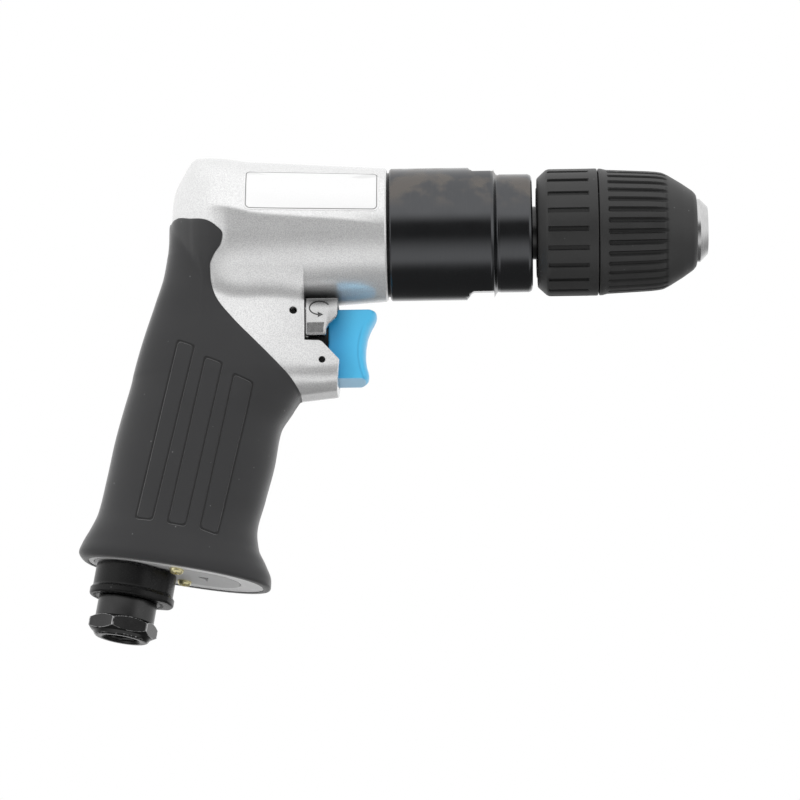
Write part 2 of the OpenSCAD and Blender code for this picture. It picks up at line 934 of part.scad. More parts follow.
module front_rotor_bearing_balls() {
    color(steel)
    bearing_balls(middle_bearing, plate_x - middle_bearing[2] - 0.2);
}

module rear_spindle_bearing_outer() {
    color(steel)
    bearing_outer(large_bearing, rear_bearing_x);
}

module rear_spindle_bearing_inner() {
    color(steel)
    bearing_inner(large_bearing, rear_bearing_x);
}

module rear_spindle_bearing_balls() {
    color(steel)
    bearing_balls(large_bearing, rear_bearing_x);
}

module front_spindle_bearing_outer() {
    color(steel)
    bearing_outer(large_bearing, front_bearing_x - bearing_w);
}

module front_spindle_bearing_inner() {
    color(steel)
    bearing_inner(large_bearing, front_bearing_x - bearing_w);
}

module front_spindle_bearing_balls() {
    color(steel)
    bearing_balls(large_bearing, front_bearing_x - bearing_w);
}

// Spindle with the planet carrier in one piece
module spindle() {
    color(dark_steel)
    difference() {
        union() {
            bar_x(carrier_x, carrier_x + carrier_t, carrier_r);
            bar_x(carrier_x + 1, rear_bearing_x, boss_r);
            bar_x(carrier_x + 1, front_bearing_x + 1, journal_r);
            bar_x(front_bearing_x, spindle_collar_x, boss_r);
            bar_x(spindle_collar_x, chuck_x + 0.1, collar_r);
            bar_x(chuck_x, web_back_x - 0.2, spindle_nose_r);
        }
        bar_x(screw_end_x - 2, web_back_x + 1, screw_r + fit);
        around_x(planet_count)
        translate([0, 0, planet_orbit])
        bar_x(carrier_x - 1, carrier_x + carrier_t + 1, pin_r + fit);
    }
}

module planet_pins() {
    color(steel)
    around_x(planet_count)
    translate([0, 0, planet_orbit])
    bar_x(cage_x + 0.1, carrier_x + carrier_t - 0.2, pin_r);
}

module carrier_rear_plate() {
    bore = 5.2;
    color(dark_steel)
    difference() {
        tube_x(cage_x, cage_x + cage_t, carrier_r, bore);
        around_x(planet_count)
        translate([0, 0, planet_orbit])
        bar_x(cage_x - 1, cage_x + cage_t + 1, pin_r + fit);
    }
}

// A planet gear at its place round the axis, meshed with sun and ring
module planet_gear(i) {
    color(steel)
    rotate([i * 360 / planet_count, 0, 0])
    translate([0, 0, planet_orbit])
    difference() {
        toothed_planet();
        bar_x(planet_x - 1, planet_x + planet_w + 1, pin_r + slide_fit);
    }
}

module toothed_planet() {
    rotate([180, 0, 0])
    rotate([180 / planet_z, 0, 0])
    toothed(planet_z, planet_x, planet_w);
}

module planet_gear_1() {
    planet_gear(0);
}

module planet_gear_2() {
    planet_gear(1);
}

module planet_gear_3() {
    planet_gear(2);
}

// Places a shape drawn along Z on the axis of the jaw above the barrel axis
module jaw_axis() {
    translate([0, 0, jaw_axis_nose])
    rotate([0, 90 + jaw_lean, 0])
    children();
}

// A jaw: a leaning bar with a V toward the axis
module jaw(i) {
    back = -jaw_tip_x / cos(jaw_lean) + jaw_len;
    half = jaw_r + 1;
    color(steel)
    rotate([i * 360 / jaw_count, 0, 0])
    intersection() {
        jaw_axis()
        translate([0, 0, -back])
        cylinder(r = jaw_r, h = jaw_len + 3);
        translate([jaw_tip_x - through, 0, 0])
        rotate([90, 0, 90])
        linear_extrude(through)
        polygon([
            [-half, jaw_v + half * jaw_v_slope], [-(jaw_flat - jaw_v) / jaw_v_slope, jaw_flat],
            [(jaw_flat - jaw_v) / jaw_v_slope, jaw_flat], [half, jaw_v + half * jaw_v_slope],
            [half, through], [-half, through]
        ]);
    }
}

module jaw_1() {
    jaw(0);
}

module jaw_2() {
    jaw(1);
}

module jaw_3() {
    jaw(2);
}

module chuck_body() {
    nose_chamfer = 2.6;
    color(steel)
    difference() {
        turned([
            [0, chuck_x + 0.1], [flange_r - fit, chuck_x + 0.1], [flange_r - fit, flange_x],
            [body_r, flange_x], [body_r, race_x], [groove_r, race_x], [groove_r, nut_front_x + 0.2],
            [nose_r, nut_front_x + 0.2], [nose_r, -nose_chamfer], [nose_r - nose_chamfer, 0], [0, 0]
        ]);
        bar_x(bore_end_x, 1, bit_d / 2);
        bar_x(web_front_x, 1, screw_head_r + 0.3);
        bar_x(web_back_x - 1, web_front_x + 1, screw_r + 0.2);
        bar_x(chuck_x - 1, web_back_x, spindle_nose_r + fit);
        around_x(jaw_count)
        jaw_axis()
        translate([0, 0, jaw_tip_x - jaw_len - 3])
        cylinder(r = jaw_r + slide_fit, h = through);
    }
}

module chuck_rear_sleeve() {
    edge_x = chuck_x + 4.2;
    front = split_x - split_gap;
    band_x = front - 4.4;
    groove_w = 2;
    groove_depth = 0.5;
    color(sleeve_grey)
    difference() {
        turned([
            [flange_r, chuck_x], [chuck_r - 4, chuck_x], [chuck_r - 0.4, edge_x - 0.4],
            [chuck_r, edge_x + 0.6], [chuck_r, front - 0.3], [chuck_r - 0.3, front],
            [flange_r + 1.6, front], [flange_r + 1.6, flange_x], [flange_r, flange_x]
        ]);
        around_x(rear_grooves)
        translate([edge_x - 0.6, -groove_w / 2, chuck_r - groove_depth])
        cube([band_x - edge_x + 0.6, groove_w, 1]);
    }
}

module chuck_screw() {
    color(dark_steel)
    difference() {
        union() {
            bar_x(web_front_x, web_front_x + screw_head_t, screw_head_r);
            bar_x(screw_end_x, web_front_x + 1, screw_r);
        }
        along_x(web_front_x + 1)
        cylinder(d = screw_key_w / cos(30), h = screw_head_t, $fn = 6);
    }
}

module thrust_race() {
    color(steel)
    tube_x(race_x, race_x + race_t, race_r, race_bore_r);
}

module thrust_balls() {
    color(steel)
    around_x(thrust_balls_n)
    translate([race_x + race_t + thrust_ball_r, 0, thrust_ring_r])
    sphere(r = thrust_ball_r, $fn = 24);
}

module chuck_front_sleeve() {
    back = split_x + split_gap;
    front = -nose_len;
    seat_end = nut_front_x + 0.1;
    hole_r = nose_r + nose_gap;
    groove_dia_r = 0.7;
    groove_lean = 2.6;
    groove_len = 19;
    color(sleeve_grey)
    difference() {
        turned([
            [sleeve_bore_r, back], [chuck_r - 0.4, back], [chuck_r - 0.1, back + 0.3],
            [chuck_r - 0.1, back + 1.8], [chuck_r - 0.6, back + 2.6], [chuck_r - 0.9, back + 9],
            [chuck_r - 1.2, back + 15],
            [chuck_r - 1.4, back + 19], [chuck_r - 1.8, back + 20.4], [chuck_r - 2.6, back + 21.9],
            [hole_r + 1.6, front - 0.4], [hole_r + 1.2, front], [hole_r, front], [hole_r, seat_end],
            [nut_r, seat_end], [nut_r, nut_back_x - 0.2], [sleeve_bore_r, nut_back_x - 1.4]
        ]);
        around_x(front_grooves)
        translate([back + 2.4, 0, chuck_r - 0.45])
        rotate([0, 90 + groove_lean, 0])
        cylinder(r = groove_dia_r, h = groove_len);
    }
}

module chuck_nut() {
    color(dark_steel)
    tube_x(nut_back_x, nut_front_x, nut_r - fit, nut_bore_r);
}

// Trigger with a rounded front and a slotted tail that the cross pin holds
module trigger() {
    slot_front = trigger_pin[0] + trigger_travel + trigger_pin_r + 0.3;
    slot_back = trigger_pin[0] - trigger_pin_r - 0.2;
    color(blue)
    difference() {
        union() {
            intersection() {
                side_plate(trigger_outline, trigger_w);
                union() {
                    translate([trigger_round_x, 0, -through])
                    cylinder(r = trigger_round_r, h = through);
                    translate([trigger_round_x - through, -through / 2, -through])
                    cube([through, through, through]);
                }
            }
            translate([tail[0], -tail_w / 2, tail[2]])
            cube([tail[1] - tail[0], tail_w, tail[3] - tail[2]]);
        }
        translate([slot_back, -through / 2, trigger_pin[1] - pin_slot_h / 2])
        cube([slot_front - slot_back, through, pin_slot_h]);
        translate([0, 0, valve_z])
        bar_x(trigger_outline[0][0] - 1, stem_front_x + 0.1, stem_r + fit);
    }
}

// Black guide behind the trigger, on the same stem
module trigger_guide() {
    color(black)
    difference() {
        translate([guide[0], -guide_w / 2, guide[2]])
        cube([guide[1] - guide[0], guide_w, guide[3] - guide[2]]);
        translate([0, 0, valve_z])
        bar_x(guide[0] - 1, guide[1] + 1, stem_r + fit);
    }
}

module trigger_stem() {
    color(steel)
    translate([0, 0, valve_z])
    bar_x(stem_back_x, stem_front_x, stem_r);
}

module throttle_valve() {
    front = seat_x - disc_gap;
    color(black)
    translate([0, 0, valve_z])
    tube_x(front - disc_t, front, disc_r, stem_r + fit);
}

module throttle_seat() {
    color(brass)
    translate([0, 0, valve_z])
    tube_x(seat_x, seat_x + seat_t, valve_bore_r - fit, seat_bore_r);
}

// Spring wire: rings of points along a helix from the hole's end to the valve
spring_x0 = spring_end_x + wire_r + 0.05;
spring_x1 = seat_x - disc_gap - disc_t - wire_r - 0.05;
spring_steps = spring_turns * rings_per_turn;
function spring_mid(s) = [
    spring_x0 + (spring_x1 - spring_x0) * s,
    spring_r * cos(360 * spring_turns * s),
    spring_r * sin(360 * spring_turns * s)
];
function spring_ring(s) = [
    for (i = [0:wire_sides - 1])
        let (
            a = 360 * spring_turns * s,
            t = -i * 360 / wire_sides,
            mid = spring_mid(s)
        )
        mid + wire_r * [sin(t), cos(t) * cos(a), cos(t) * sin(a)]
];
spring_pitch = (spring_x1 - spring_x0) / spring_turns;
echo(spring_least_gap = spring_pitch - 2 * wire_r);

module throttle_spring() {
    color(steel)
    translate([0, 0, valve_z])
    skin([for (k = [0:spring_steps]) spring_ring(k / spring_steps)]);
}

module lever_pin() {
    color(dark_steel)
    translate([lever_pin[0], 0, lever_pin[1]])
    rotate([90, 0, 0])
    cylinder(r = lever_pin_r, h = 2 * lever_pin_half, center = true);
}

module trigger_pin() {
    recess = 0.8;
    color(dark_steel)
    translate([trigger_pin[0], 0, trigger_pin[1]])
    rotate([90, 0, 0])
    cylinder(r = trigger_pin_r, h = 2 * (lug_half_w - recess), center = true);
}

// Reverse lever: two side plates, a bridge and a hub on the valve axis
module reverse_lever() {
    back = lever_outline[0][0];
    inner = lever_w / 2 - lever_wall;
    top = lever_outline[0][1];
    low = lever_outline[7][1];
    color(steel)
    difference() {
        union() {
            difference() {
                side_plate(lever_outline, lever_w);
                translate([back + lever_back_t, -inner, top - lever_bridge - through])
                cube([through, 2 * inner, through]);
            }
            translate([0, 0, valve_z])
            bar_x(back, back + lever_back_t, hub_r);
            translate([back, -hub_r, valve_z])
            cube([lever_back_t, 2 * hub_r, low - valve_z + 1]);
            translate([0, 0, valve_z])
            bar_x(spigot_end_x, back + 1, spigot_r);
        }
        translate([0, 0, valve_z])
        bar_x(spigot_end_x - 1, back + through, stem_clear_r);
    }
}

module reverse_valve() {
    port_len = 4;
    color(brass)
    translate([0, 0, valve_z])
    difference() {
        tube_x(spool_end_x, spool_front_x, spool_r, spool_bore_r);
        tube_x(spool_groove[0], spool_groove[1], spool_r + 1, spool_groove_r);
        translate([spool_groove[1] - eps, -spool_notch[0], -spool_notch[1] - through])
        cube([through, 2 * spool_notch[0], through]);
        for (x = feed_x)
            translate([x, 0, 0])
            cylinder(r = feed_r, h = port_len * feed_r);
    }
}

// Inlet fitting below the handle
module inlet_bushing() {
    hex_r = hex_w / 2 / cos(30);
    chamfer = 1.2;
    color(dark_steel)
    at_base()
    difference() {
        union() {
            translate([0, 0, -1])
            cylinder(r = bush_r, h = bush_len + 1);
            translate([0, 0, -ring_len - ring_gap])
            cylinder(r = ring_seat_r, h = ring_len + ring_gap - fit);
            translate([0, 0, -neck_len])
            cylinder(r = neck_r, h = neck_len - ring_len - ring_gap);
            rotate_extrude()
            polygon([
                [0, -inlet_len], [end_collar_r - chamfer / 2, -inlet_len],
                [end_collar_r, chamfer / 2 - inlet_len],
                [end_collar_r, 1 - neck_len - hex_len], [0, 1 - neck_len - hex_len]
            ]);
            intersection() {
                translate([0, 0, -neck_len - hex_len])
                rotate([0, 0, hex_turn])
                cylinder(r = hex_r, h = hex_len, $fn = 6);
                translate([0, 0, -neck_len - hex_len])
                rotate_extrude()
                polygon([
                    [0, 0], [hex_w / 2 - 0.2, 0], [hex_r, chamfer], [hex_r, hex_len - chamfer],
                    [hex_w / 2, hex_len], [0, hex_len]
                ]);
            }
        }
        translate([0, 0, -inlet_len - 1])
        cylinder(d = inlet_thread_d, h = thread_len + 1);
        translate([0, 0, -inlet_len])
        cylinder(r = bush_bore_r, h = inlet_len + bush_len + 1);
    }
}

module inlet_screen() {
    ring_r = 2.9;
    holes = 8;
    color(steel)
    at_base()
    translate([0, 0, screen_z])
    difference() {
        cylinder(r = bush_bore_r - fit, h = screen_t);
        translate([0, 0, -1])
        cylinder(r = screen_hole_r, h = screen_t + 2);
        for (i = [0:holes - 1])
            rotate([0, 0, i * 360 / holes])
            translate([ring_r, 0, -1])
            cylinder(r = screen_hole_r, h = screen_t + 2);
    }
}

module inlet_seal() {
    color(black)
    at_base()
    translate([0, 0, bush_len + seal_wire_r])
    rotate_extrude()
    translate([seal_r, 0])
    circle(r = seal_wire_r - 0.02, $fn = 24);
}

module regulator_ring() {
    color(black)
    at_base()
    difference() {
        union() {
            translate([0, 0, -ring_len])
            cylinder(d = ring_d, h = ring_len + ring_top);
            translate([0, 0, -ring_len])
            cylinder(r = ring_flange_r, h = ring_flange_t);
            translate([0, 0, -ring_len])
            linear_extrude(ring_len + ring_top)
            intersection() {
                circle(r = tab_r);
                polygon([tab_root, tab_end, [tab_end[0], -tab_end[1]], [tab_root[0], -tab_root[1]]]);
            }
        }
        translate([0, 0, -through / 2])
        cylinder(r = ring_seat_r + slide_fit, h = through);
        translate([0, 0, -ring_len - 1])
        cylinder(r = neck_r + 0.4, h = 1);
        translate([0, 0, -ring_len - 1])
        vent_holes(ring_len + 2);
    }
}

module base_plate() {
    color(silver)
    at_base()
    difference() {
        linear_extrude(base_plate_t)
        base_outline(0);
        translate([0, 0, -1])
        cylinder(r = plate_hole_r, h = base_plate_t + 2);
        translate([0, 0, -1])
        vent_holes(base_plate_t + 2);
        translate([0, 0, -1])
        base_screws_at()
        cylinder(r = base_screw_r + fit, h = base_plate_t + 2);
    }
}

module base_plate_screws() {
    slot_w = 0.7;
    slot_d = 0.6;
    color(brass)
    at_base()
    base_screws_at()
    difference() {
        union() {
            translate([0, 0, -base_screw_head_t])
            cylinder(r = base_screw_head_r, h = base_screw_head_t);
            cylinder(r = base_screw_r, h = base_screw_len);
        }
        translate([-base_screw_head_r - 1, -slot_w / 2, -base_screw_head_t - 1])
        cube([2 * base_screw_head_r + 2, slot_w, slot_d + 1]);
    }
}

module muffler() {
    color(felt)
    at_base()
    translate([chamber[0] + muffler_gap, muffler_gap - chamber_w / 2, muffler_base])
    cube([
        chamber[1] - chamber[0] - 2 * muffler_gap,
        chamber_w - 2 * muffler_gap,
        muffler_top - muffler_base
    ]);
}

housing();
grip_sleeve();
label_plate();
gear_case();
case_gasket();
ring_gear();
bearing_spacer();
bearing_retaining_ring();
cylinder_liner();
front_end_plate();
rear_end_plate();
dowel_pin();
rear_rotor_bearing_outer();
front_rotor_bearing_outer();
rear_spindle_bearing_outer();
front_spindle_bearing_outer();
throttle_seat();
throttle_spring();
lever_pin();
trigger_pin();
inlet_bushing();
inlet_screen();
inlet_seal();
base_plate();
base_plate_screws();
muffler();
regulator_ring();
trigger();
trigger_guide();
trigger_stem();
throttle_valve();
reverse_lever();
reverse_valve();
rotor();
rotor_vanes();
sun_pinion();
rear_rotor_bearing_inner();
rear_rotor_bearing_balls();
front_rotor_bearing_inner();
front_rotor_bearing_balls();
spindle();
planet_pins();
carrier_rear_plate();
rear_spindle_bearing_inner();
rear_spindle_bearing_balls();
front_spindle_bearing_inner();
front_spindle_bearing_balls();
planet_gear_1();
planet_gear_2();
planet_gear_3();
chuck_body();
chuck_rear_sleeve();
chuck_screw();
thrust_race();
thrust_balls();
chuck_front_sleeve();
chuck_nut();
jaw_1();
jaw_2();
jaw_3();
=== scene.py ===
import math
from functools import reduce
import bpy
import numpy as np
from mathutils import Matrix, Vector


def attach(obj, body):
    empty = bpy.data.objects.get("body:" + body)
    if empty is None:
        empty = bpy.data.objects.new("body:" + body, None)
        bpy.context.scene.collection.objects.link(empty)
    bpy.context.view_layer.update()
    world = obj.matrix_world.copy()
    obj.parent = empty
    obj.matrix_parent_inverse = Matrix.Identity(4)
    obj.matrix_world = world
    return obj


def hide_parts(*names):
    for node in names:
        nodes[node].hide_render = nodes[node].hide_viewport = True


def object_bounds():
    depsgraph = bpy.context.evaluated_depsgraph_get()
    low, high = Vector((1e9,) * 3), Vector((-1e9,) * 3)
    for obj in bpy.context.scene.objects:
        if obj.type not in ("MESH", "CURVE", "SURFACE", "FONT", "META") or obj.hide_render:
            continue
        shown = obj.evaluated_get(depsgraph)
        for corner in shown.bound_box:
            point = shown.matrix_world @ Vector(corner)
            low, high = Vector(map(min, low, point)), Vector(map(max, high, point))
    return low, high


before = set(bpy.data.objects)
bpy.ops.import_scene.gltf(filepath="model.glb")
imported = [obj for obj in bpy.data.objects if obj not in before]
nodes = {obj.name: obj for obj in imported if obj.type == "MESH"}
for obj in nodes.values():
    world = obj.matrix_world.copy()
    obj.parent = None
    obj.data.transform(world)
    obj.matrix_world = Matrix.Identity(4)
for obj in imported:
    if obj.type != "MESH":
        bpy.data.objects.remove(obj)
cad_low, cad_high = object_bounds()
MM = 0.001


# Shader values

def math_node(operation):
    """A method that adds a Math node: its own value first, then the others."""
    def add(own, *others):
        return own.tree.node("ShaderNodeMath", {"operation": operation}, dict(enumerate((own, *others))))
    return add


class Flow:
    """A socket in a node tree. Arithmetic on it adds Math nodes to that tree."""

    __add__ = __radd__ = math_node("ADD")
    __sub__ = math_node("SUBTRACT")
    __mul__ = math_node("MULTIPLY")
    __truediv__ = math_node("DIVIDE")
    __abs__ = math_node("ABSOLUTE")
    least = math_node("MINIMUM")
    most = math_node("MAXIMUM")
    soft_most = math_node("SMOOTH_MAX")
    root = math_node("SQRT")

    def __init__(self, tree, socket):
        self.tree = tree
        self.socket = socket

    def __rsub__(self, other):
        return self.tree.node("ShaderNodeMath", {"operation": "SUBTRACT"}, {0: other, 1: self})

    def step(self, low, high):
        """0 below low, 1 above high, eased between; low may be the larger."""
        inputs = {"Value": self, "From Min": low, "From Max": high}
        return self.tree.node("ShaderNodeMapRange", {"interpolation_type": "SMOOTHSTEP"}, inputs)

    def split(self):
        """The three parts of a vector or colour."""
        parts = self.tree.node("ShaderNodeSeparateXYZ", None, {0: self}).socket.node
        return [Flow(self.tree, parts.outputs[i]) for i in range(3)]


class Tree:
    """A node tree, with a method that adds any node to it."""

    def __init__(self, tree):
        self.tree = tree

    def put(self, socket, value):
        if isinstance(value, Flow):
            self.tree.links.new(value.socket, socket)
        elif socket.type == "RGBA":
            socket.default_value = (*value, 1.0)
        else:
            socket.default_value = value

    def node(self, kind, settings=None, inputs=None, out=0):
        """Adds a node: its settings first, then the values or links of its sockets."""
        made = self.tree.nodes.new(kind)
        for key, value in (settings or {}).items():
            setattr(made, key, value)
        for key, value in (inputs or {}).items():
            self.put(made.inputs[key], value)
        return Flow(self, made.outputs[out])


class Finish(Tree):
    """One material: a Principled surface with fixed values, and its place in millimetres."""

    def __init__(self, name, colour, **fixed):
        self.material = bpy.data.materials.new(name)
        self.material.use_nodes = True
        super().__init__(self.material.node_tree)
        self.surface = self.tree.nodes["Principled BSDF"]
        self.set("Base Color", colour)
        for key, value in fixed.items():
            self.set(key.replace("_", " "), value)
        spot = self.node("ShaderNodeTexCoord", out="Object")
        self.at = self.node("ShaderNodeVectorMath", {"operation": "SCALE"}, {0: spot, "Scale": 1000.0})
        self.x, self.y, self.z = self.at.split()

    def set(self, name, value):
        self.put(self.surface.inputs[name], value)

    def noise(self, size, detail=2.0, rough=0.5, stretch=None):
        """Noise from 0 to 1 of a grain size in millimetres, stretched where asked."""
        spot = self.at
        if stretch:
            spot = self.node("ShaderNodeVectorMath", {"operation": "MULTIPLY"}, {0: spot, 1: stretch})
        inputs = {"Vector": spot, "Scale": 1.0 / size, "Detail": detail, "Roughness": rough}
        return self.node("ShaderNodeTexNoise", None, inputs)

    def cells(self, size):
        """Distance to the nearest of scattered points, in parts of their spacing."""
        return self.node("ShaderNodeTexVoronoi", None, {"Vector": self.at, "Scale": 1.0 / size})

    def blend(self, share, a, b):
        """Colour a where share is 0 and b where it is 1."""
        return self.node("ShaderNodeMix", {"data_type": "RGBA"}, {0: share, 6: a, 7: b}, 2)

    def coat(self, colour, rough, height=None, depth=0.0):
        """Sets colour and roughness, and a bump of a depth in millimetres where there is a height."""
        self.set("Base Color", colour)
        self.set("Roughness", rough)
        if height:
            self.set("Normal", self.node("ShaderNodeBump", None, {"Height": height, "Distance": depth * MM}))
        return self


def grey(level):
    """A neutral colour from its 0 to 255 display level."""
    c = level / 255.0
    return (c / 12.92 if c < 0.04045 else ((c + 0.055) / 1.055) ** 2.4,) * 3


def shade(r, g, b):
    """A colour from its display levels."""
    return tuple(grey(v)[0] for v in (r, g, b))


# Shapes

def lattice(rows, cols):
    """Quads between neighbours of a grid of points whose columns close into rings."""
    i = np.arange(rows - 1)[:, None]
    j = np.arange(cols)[None, :]
    k = (j + 1) % cols
    return np.stack([i * cols + j, i * cols + k, (i + 1) * cols + k, (i + 1) * cols + j], -1).reshape(-1, 4)


def skin(rings):
    """A solid over rings, with a fan to the middle of each end."""
    rows, cols = rings.shape[:2]
    points = np.concatenate([rings.reshape(-1, 3), rings[0].mean(0)[None], rings[-1].mean(0)[None]])
    j = np.arange(cols)
    k = (j + 1) % cols
    last_row = (rows - 1) * cols
    first = np.stack([np.full(cols, rows * cols), k, j], -1)
    last = np.stack([np.full(cols, rows * cols + 1), j + last_row, k + last_row], -1)
    return points, [lattice(rows, cols), first, last]


def capped(rings):
    """A solid over rings, with one flat face at each end."""
    rows, cols = rings.shape[:2]
    j = np.arange(cols)[None]
    return rings.reshape(-1, 3), [lattice(rows, cols), j[:, ::-1], j + (rows - 1) * cols]


def hollow(rings):
    """A ring-shaped solid: the last ring joins the first."""
    rows, cols = rings.shape[:2]
    return rings.reshape(-1, 3), [lattice(rows + 1, cols) % (rows * cols)]


def join(*parts):
    """Several solids' points and faces as one."""
    points, faces, start = [], [], 0
    for p, f in parts:
        points.append(p)
        faces += [q + start for q in f]
        start += len(p)
    return np.concatenate(points), faces


def make_mesh(name, points, faces):
    """A mesh from points in millimetres and arrays of faces, turned to face outwards."""
    volume = 0.0
    for f in faces:
        a = points[f[:, 0]]
        for i in range(1, f.shape[1] - 1):
            volume += np.einsum("ij,ij->", a, np.cross(points[f[:, i]], points[f[:, i + 1]]))
    mesh = bpy.data.meshes.new(name)
    listed = [row for f in faces for row in (f if volume > 0 else f[:, ::-1]).tolist()]
    mesh.from_pydata(points * MM, [], listed)
    mesh.update()
    return mesh


def shown(name, data):
    """A new object in the scene, from a mesh, a lamp or a camera."""
    thing = bpy.data.objects.new(name, data)
    bpy.context.scene.collection.objects.link(thing)
    return thing


def solid(name, shape):
    """An object from points and faces."""
    return shown(name, make_mesh(name, *shape))


def dress(thing, finish, body, stands_for=(), sharp=35.0):
    """Gives a piece its material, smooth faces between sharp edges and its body."""
    mesh = thing.data
    mesh.materials.clear()
    mesh.materials.append(finish.material)
    mesh.polygons.foreach_set("use_smooth", np.ones(len(mesh.polygons), bool))
    mesh.set_sharp_from_angle(angle=math.radians(sharp))
    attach(thing, body)
    if stands_for:
        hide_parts(*stands_for)
    return thing


def cut(thing, *tools):
    """Takes solids away from a piece."""
    made = [solid("tool", tool) for tool in tools]
    for tool in made:
        step = thing.modifiers.new("cut", "BOOLEAN")
        step.operation = "DIFFERENCE"
        step.solver = "EXACT"
        step.object = tool
    settle(thing)
    for tool in made:
        bpy.data.objects.remove(tool)
    return thing


def rounded(thing, width, angle=30.0, steps=3):
    """Rounds a piece's edges that are sharper than the angle."""
    step = thing.modifiers.new("round", "BEVEL")
    step.width = width * MM
    step.segments = steps
    step.limit_method = "ANGLE"
    step.angle_limit = math.radians(angle)
    settle(thing)
    return thing


def settle(thing):
    """Puts the result of a piece's modifiers into its mesh."""
    bpy.context.view_layer.update()
    done = bpy.data.meshes.new_from_object(thing.evaluated_get(bpy.context.evaluated_depsgraph_get()))
    thing.modifiers.clear()
    thing.data = done


def flow(t, xs, ys):
    """Monotone cubic through points, with harmonic means as slopes, level past the ends."""
    xs, ys = np.asarray(xs, float), np.asarray(ys, float)
    h = np.diff(xs)
    d = np.diff(ys) / h
    same = d[:-1] * d[1:] > 0
    inner = np.where(same, 2 * d[:-1] * d[1:] / np.where(same, d[:-1] + d[1:], 1), 0)
    m = np.concatenate([d[:1], inner, d[-1:]])
    t = np.clip(t, xs[0], xs[-1])
    i = np.clip(np.searchsorted(xs, t, "right") - 1, 0, len(h) - 1)
    u = (t - xs[i]) / h[i]
    return (
        ys[i] * (1 + 2 * u) * (1 - u) ** 2
        + m[i] * h[i] * u * (1 - u) ** 2
        + ys[i + 1] * u * u * (3 - 2 * u)
        + m[i + 1] * h[i] * u * u * (u - 1)
    )


def ramp(t, start, run):
    """From 0 at a start to 1 a run further on, straight; the run may be negative."""
    return np.clip((t - start) / run, 0, 1)


def soft_least(a, b, reach):
    """The lesser of two fields, eased over a reach where they are close, as a cast fillet."""
    h = np.clip(0.5 + 0.5 * (b - a) / reach, 0, 1)
    return b + (a - b) * h - reach * h * (1 - h)


def soft_most(a, b, reach):
    """The greater of two fields, eased over a reach, as a rounded edge."""
    return -soft_least(-a, -b, reach)


def soften(points, radius, steps=5):
    """A line of points whose inner corners are rounded by parabolas, a radius long each way."""
    points = np.asarray(points, float)
    made = [points[:1]]
    u = np.linspace(0, 1, steps)[:, None]
    for a, b, c in zip(points[:-2], points[1:-1], points[2:]):
        back, on = a - b, c - b
        p = b + back * min(radius / np.linalg.norm(back), 0.45)
        q = b + on * min(radius / np.linalg.norm(on), 0.45)
        made.append((1 - u) ** 2 * p + 2 * u * (1 - u) * b + u * u * q)
    made.append(points[-1:])
    return np.concatenate(made)


def loop(points, radius, steps=6):
    """A closed outline with rounded corners."""
    points = np.asarray(points, float)
    return soften(np.concatenate([points[-1:], points, points[:1]]), radius, steps)[1:-1]


def rows_of(profile, spacing=0.8, edge=0.25):
    """Stations and radii along a profile with softened corners, filled to an even spacing."""
    line = soften(profile, edge)
    length = np.linalg.norm(np.diff(line, axis=0), axis=1)
    count = np.maximum(np.ceil(length / spacing).astype(int), 1)
    filled = [np.linspace(a, b, n, endpoint=False) for a, b, n in zip(line[:-1], line[1:], count)]
    return np.concatenate(filled + [line[-1:]])


def run_along(points):
    """Length along a line up to each of its points."""
    return np.concatenate([[0], np.cumsum(np.linalg.norm(np.diff(points, axis=0), axis=1))])


def circle(count):
    """Angles of a full turn."""
    return np.linspace(0, 2 * np.pi, count, endpoint=False)


def spots_at(a):
    """Points on the unit circle."""
    return np.stack([np.cos(a), np.sin(a)], -1)


def round_x(x, radius, a):
    """Rings about X; the radius may change with station and angle, which starts at the top."""
    return np.stack([x + 0 * a, radius * np.sin(a), radius * np.cos(a)], -1)


def round_z(z, radius, a):
    """Rings about Z; the radius may change with height and angle, which starts forward."""
    return np.stack([radius * np.cos(a), radius * np.sin(a), z + 0 * a], -1)


def prism(outline, low, high, axis=1):
    """A solid between two planes across an axis, y unless asked, over an outline."""
    flat = np.asarray(outline, float)
    return capped(np.stack([np.insert(flat, axis, level, 1) for level in (low, high)]))


def upright(outline, low, high):
    """A solid between two heights over an outline in x and y."""
    return prism(outline, low, high, 2)


def block(low, high):
    """A box between two corners."""
    (x0, y0, z0), (x1, y1, z1) = low, high
    return prism([[x0, z0], [x1, z0], [x1, z1], [x0, z1]], y0, y1)


def disc(x, y, r, count=32):
    """A round outline."""
    return [x, y] + r * spots_at(circle(count))


BASE_TILT = math.radians(10)
BASE_COS, BASE_SIN = math.cos(BASE_TILT), math.sin(BASE_TILT)
BASE = np.array([-191.6, 0.0, -110.0 - 16.7 * math.tan(BASE_TILT)])


def at_base(shape):
    """A shape drawn with Z along the inlet axis, put in its place under the handle."""
    points, faces = shape
    turn = np.array([[BASE_COS, 0, BASE_SIN], [0, 1, 0], [-BASE_SIN, 0, BASE_COS]])
    return points @ turn.T + BASE, faces


# Finishes

def cast_silver():
    """Satin silver casting: sparkling grain, faint clouds, painted shade in the gap over the lever."""
    f = Finish("cast_silver", grey(240), Metallic=0.58)
    grain = f.noise(0.34, 2.0, 0.7)
    cloud = f.noise(9.0, 3.0)
    # Painted shade: the barrel's underside is darkened just over the lever, where shade falls.
    over_lever = f.x.step(-136.0, -134.4) * f.x.step(-121.5, -125.0)
    painted_gap_shade = over_lever * f.z.step(-20.0, -23.7) * f.z.step(-26.0, -25.0)
    body = f.blend(grain.step(0.34, 0.66) * 0.8 + cloud * 0.2, grey(214), grey(252))
    return f.coat(f.blend(painted_gap_shade * 0.95, body, grey(36)), 0.19 + grain * 0.07 + cloud * 0.05, grain, 0.008)


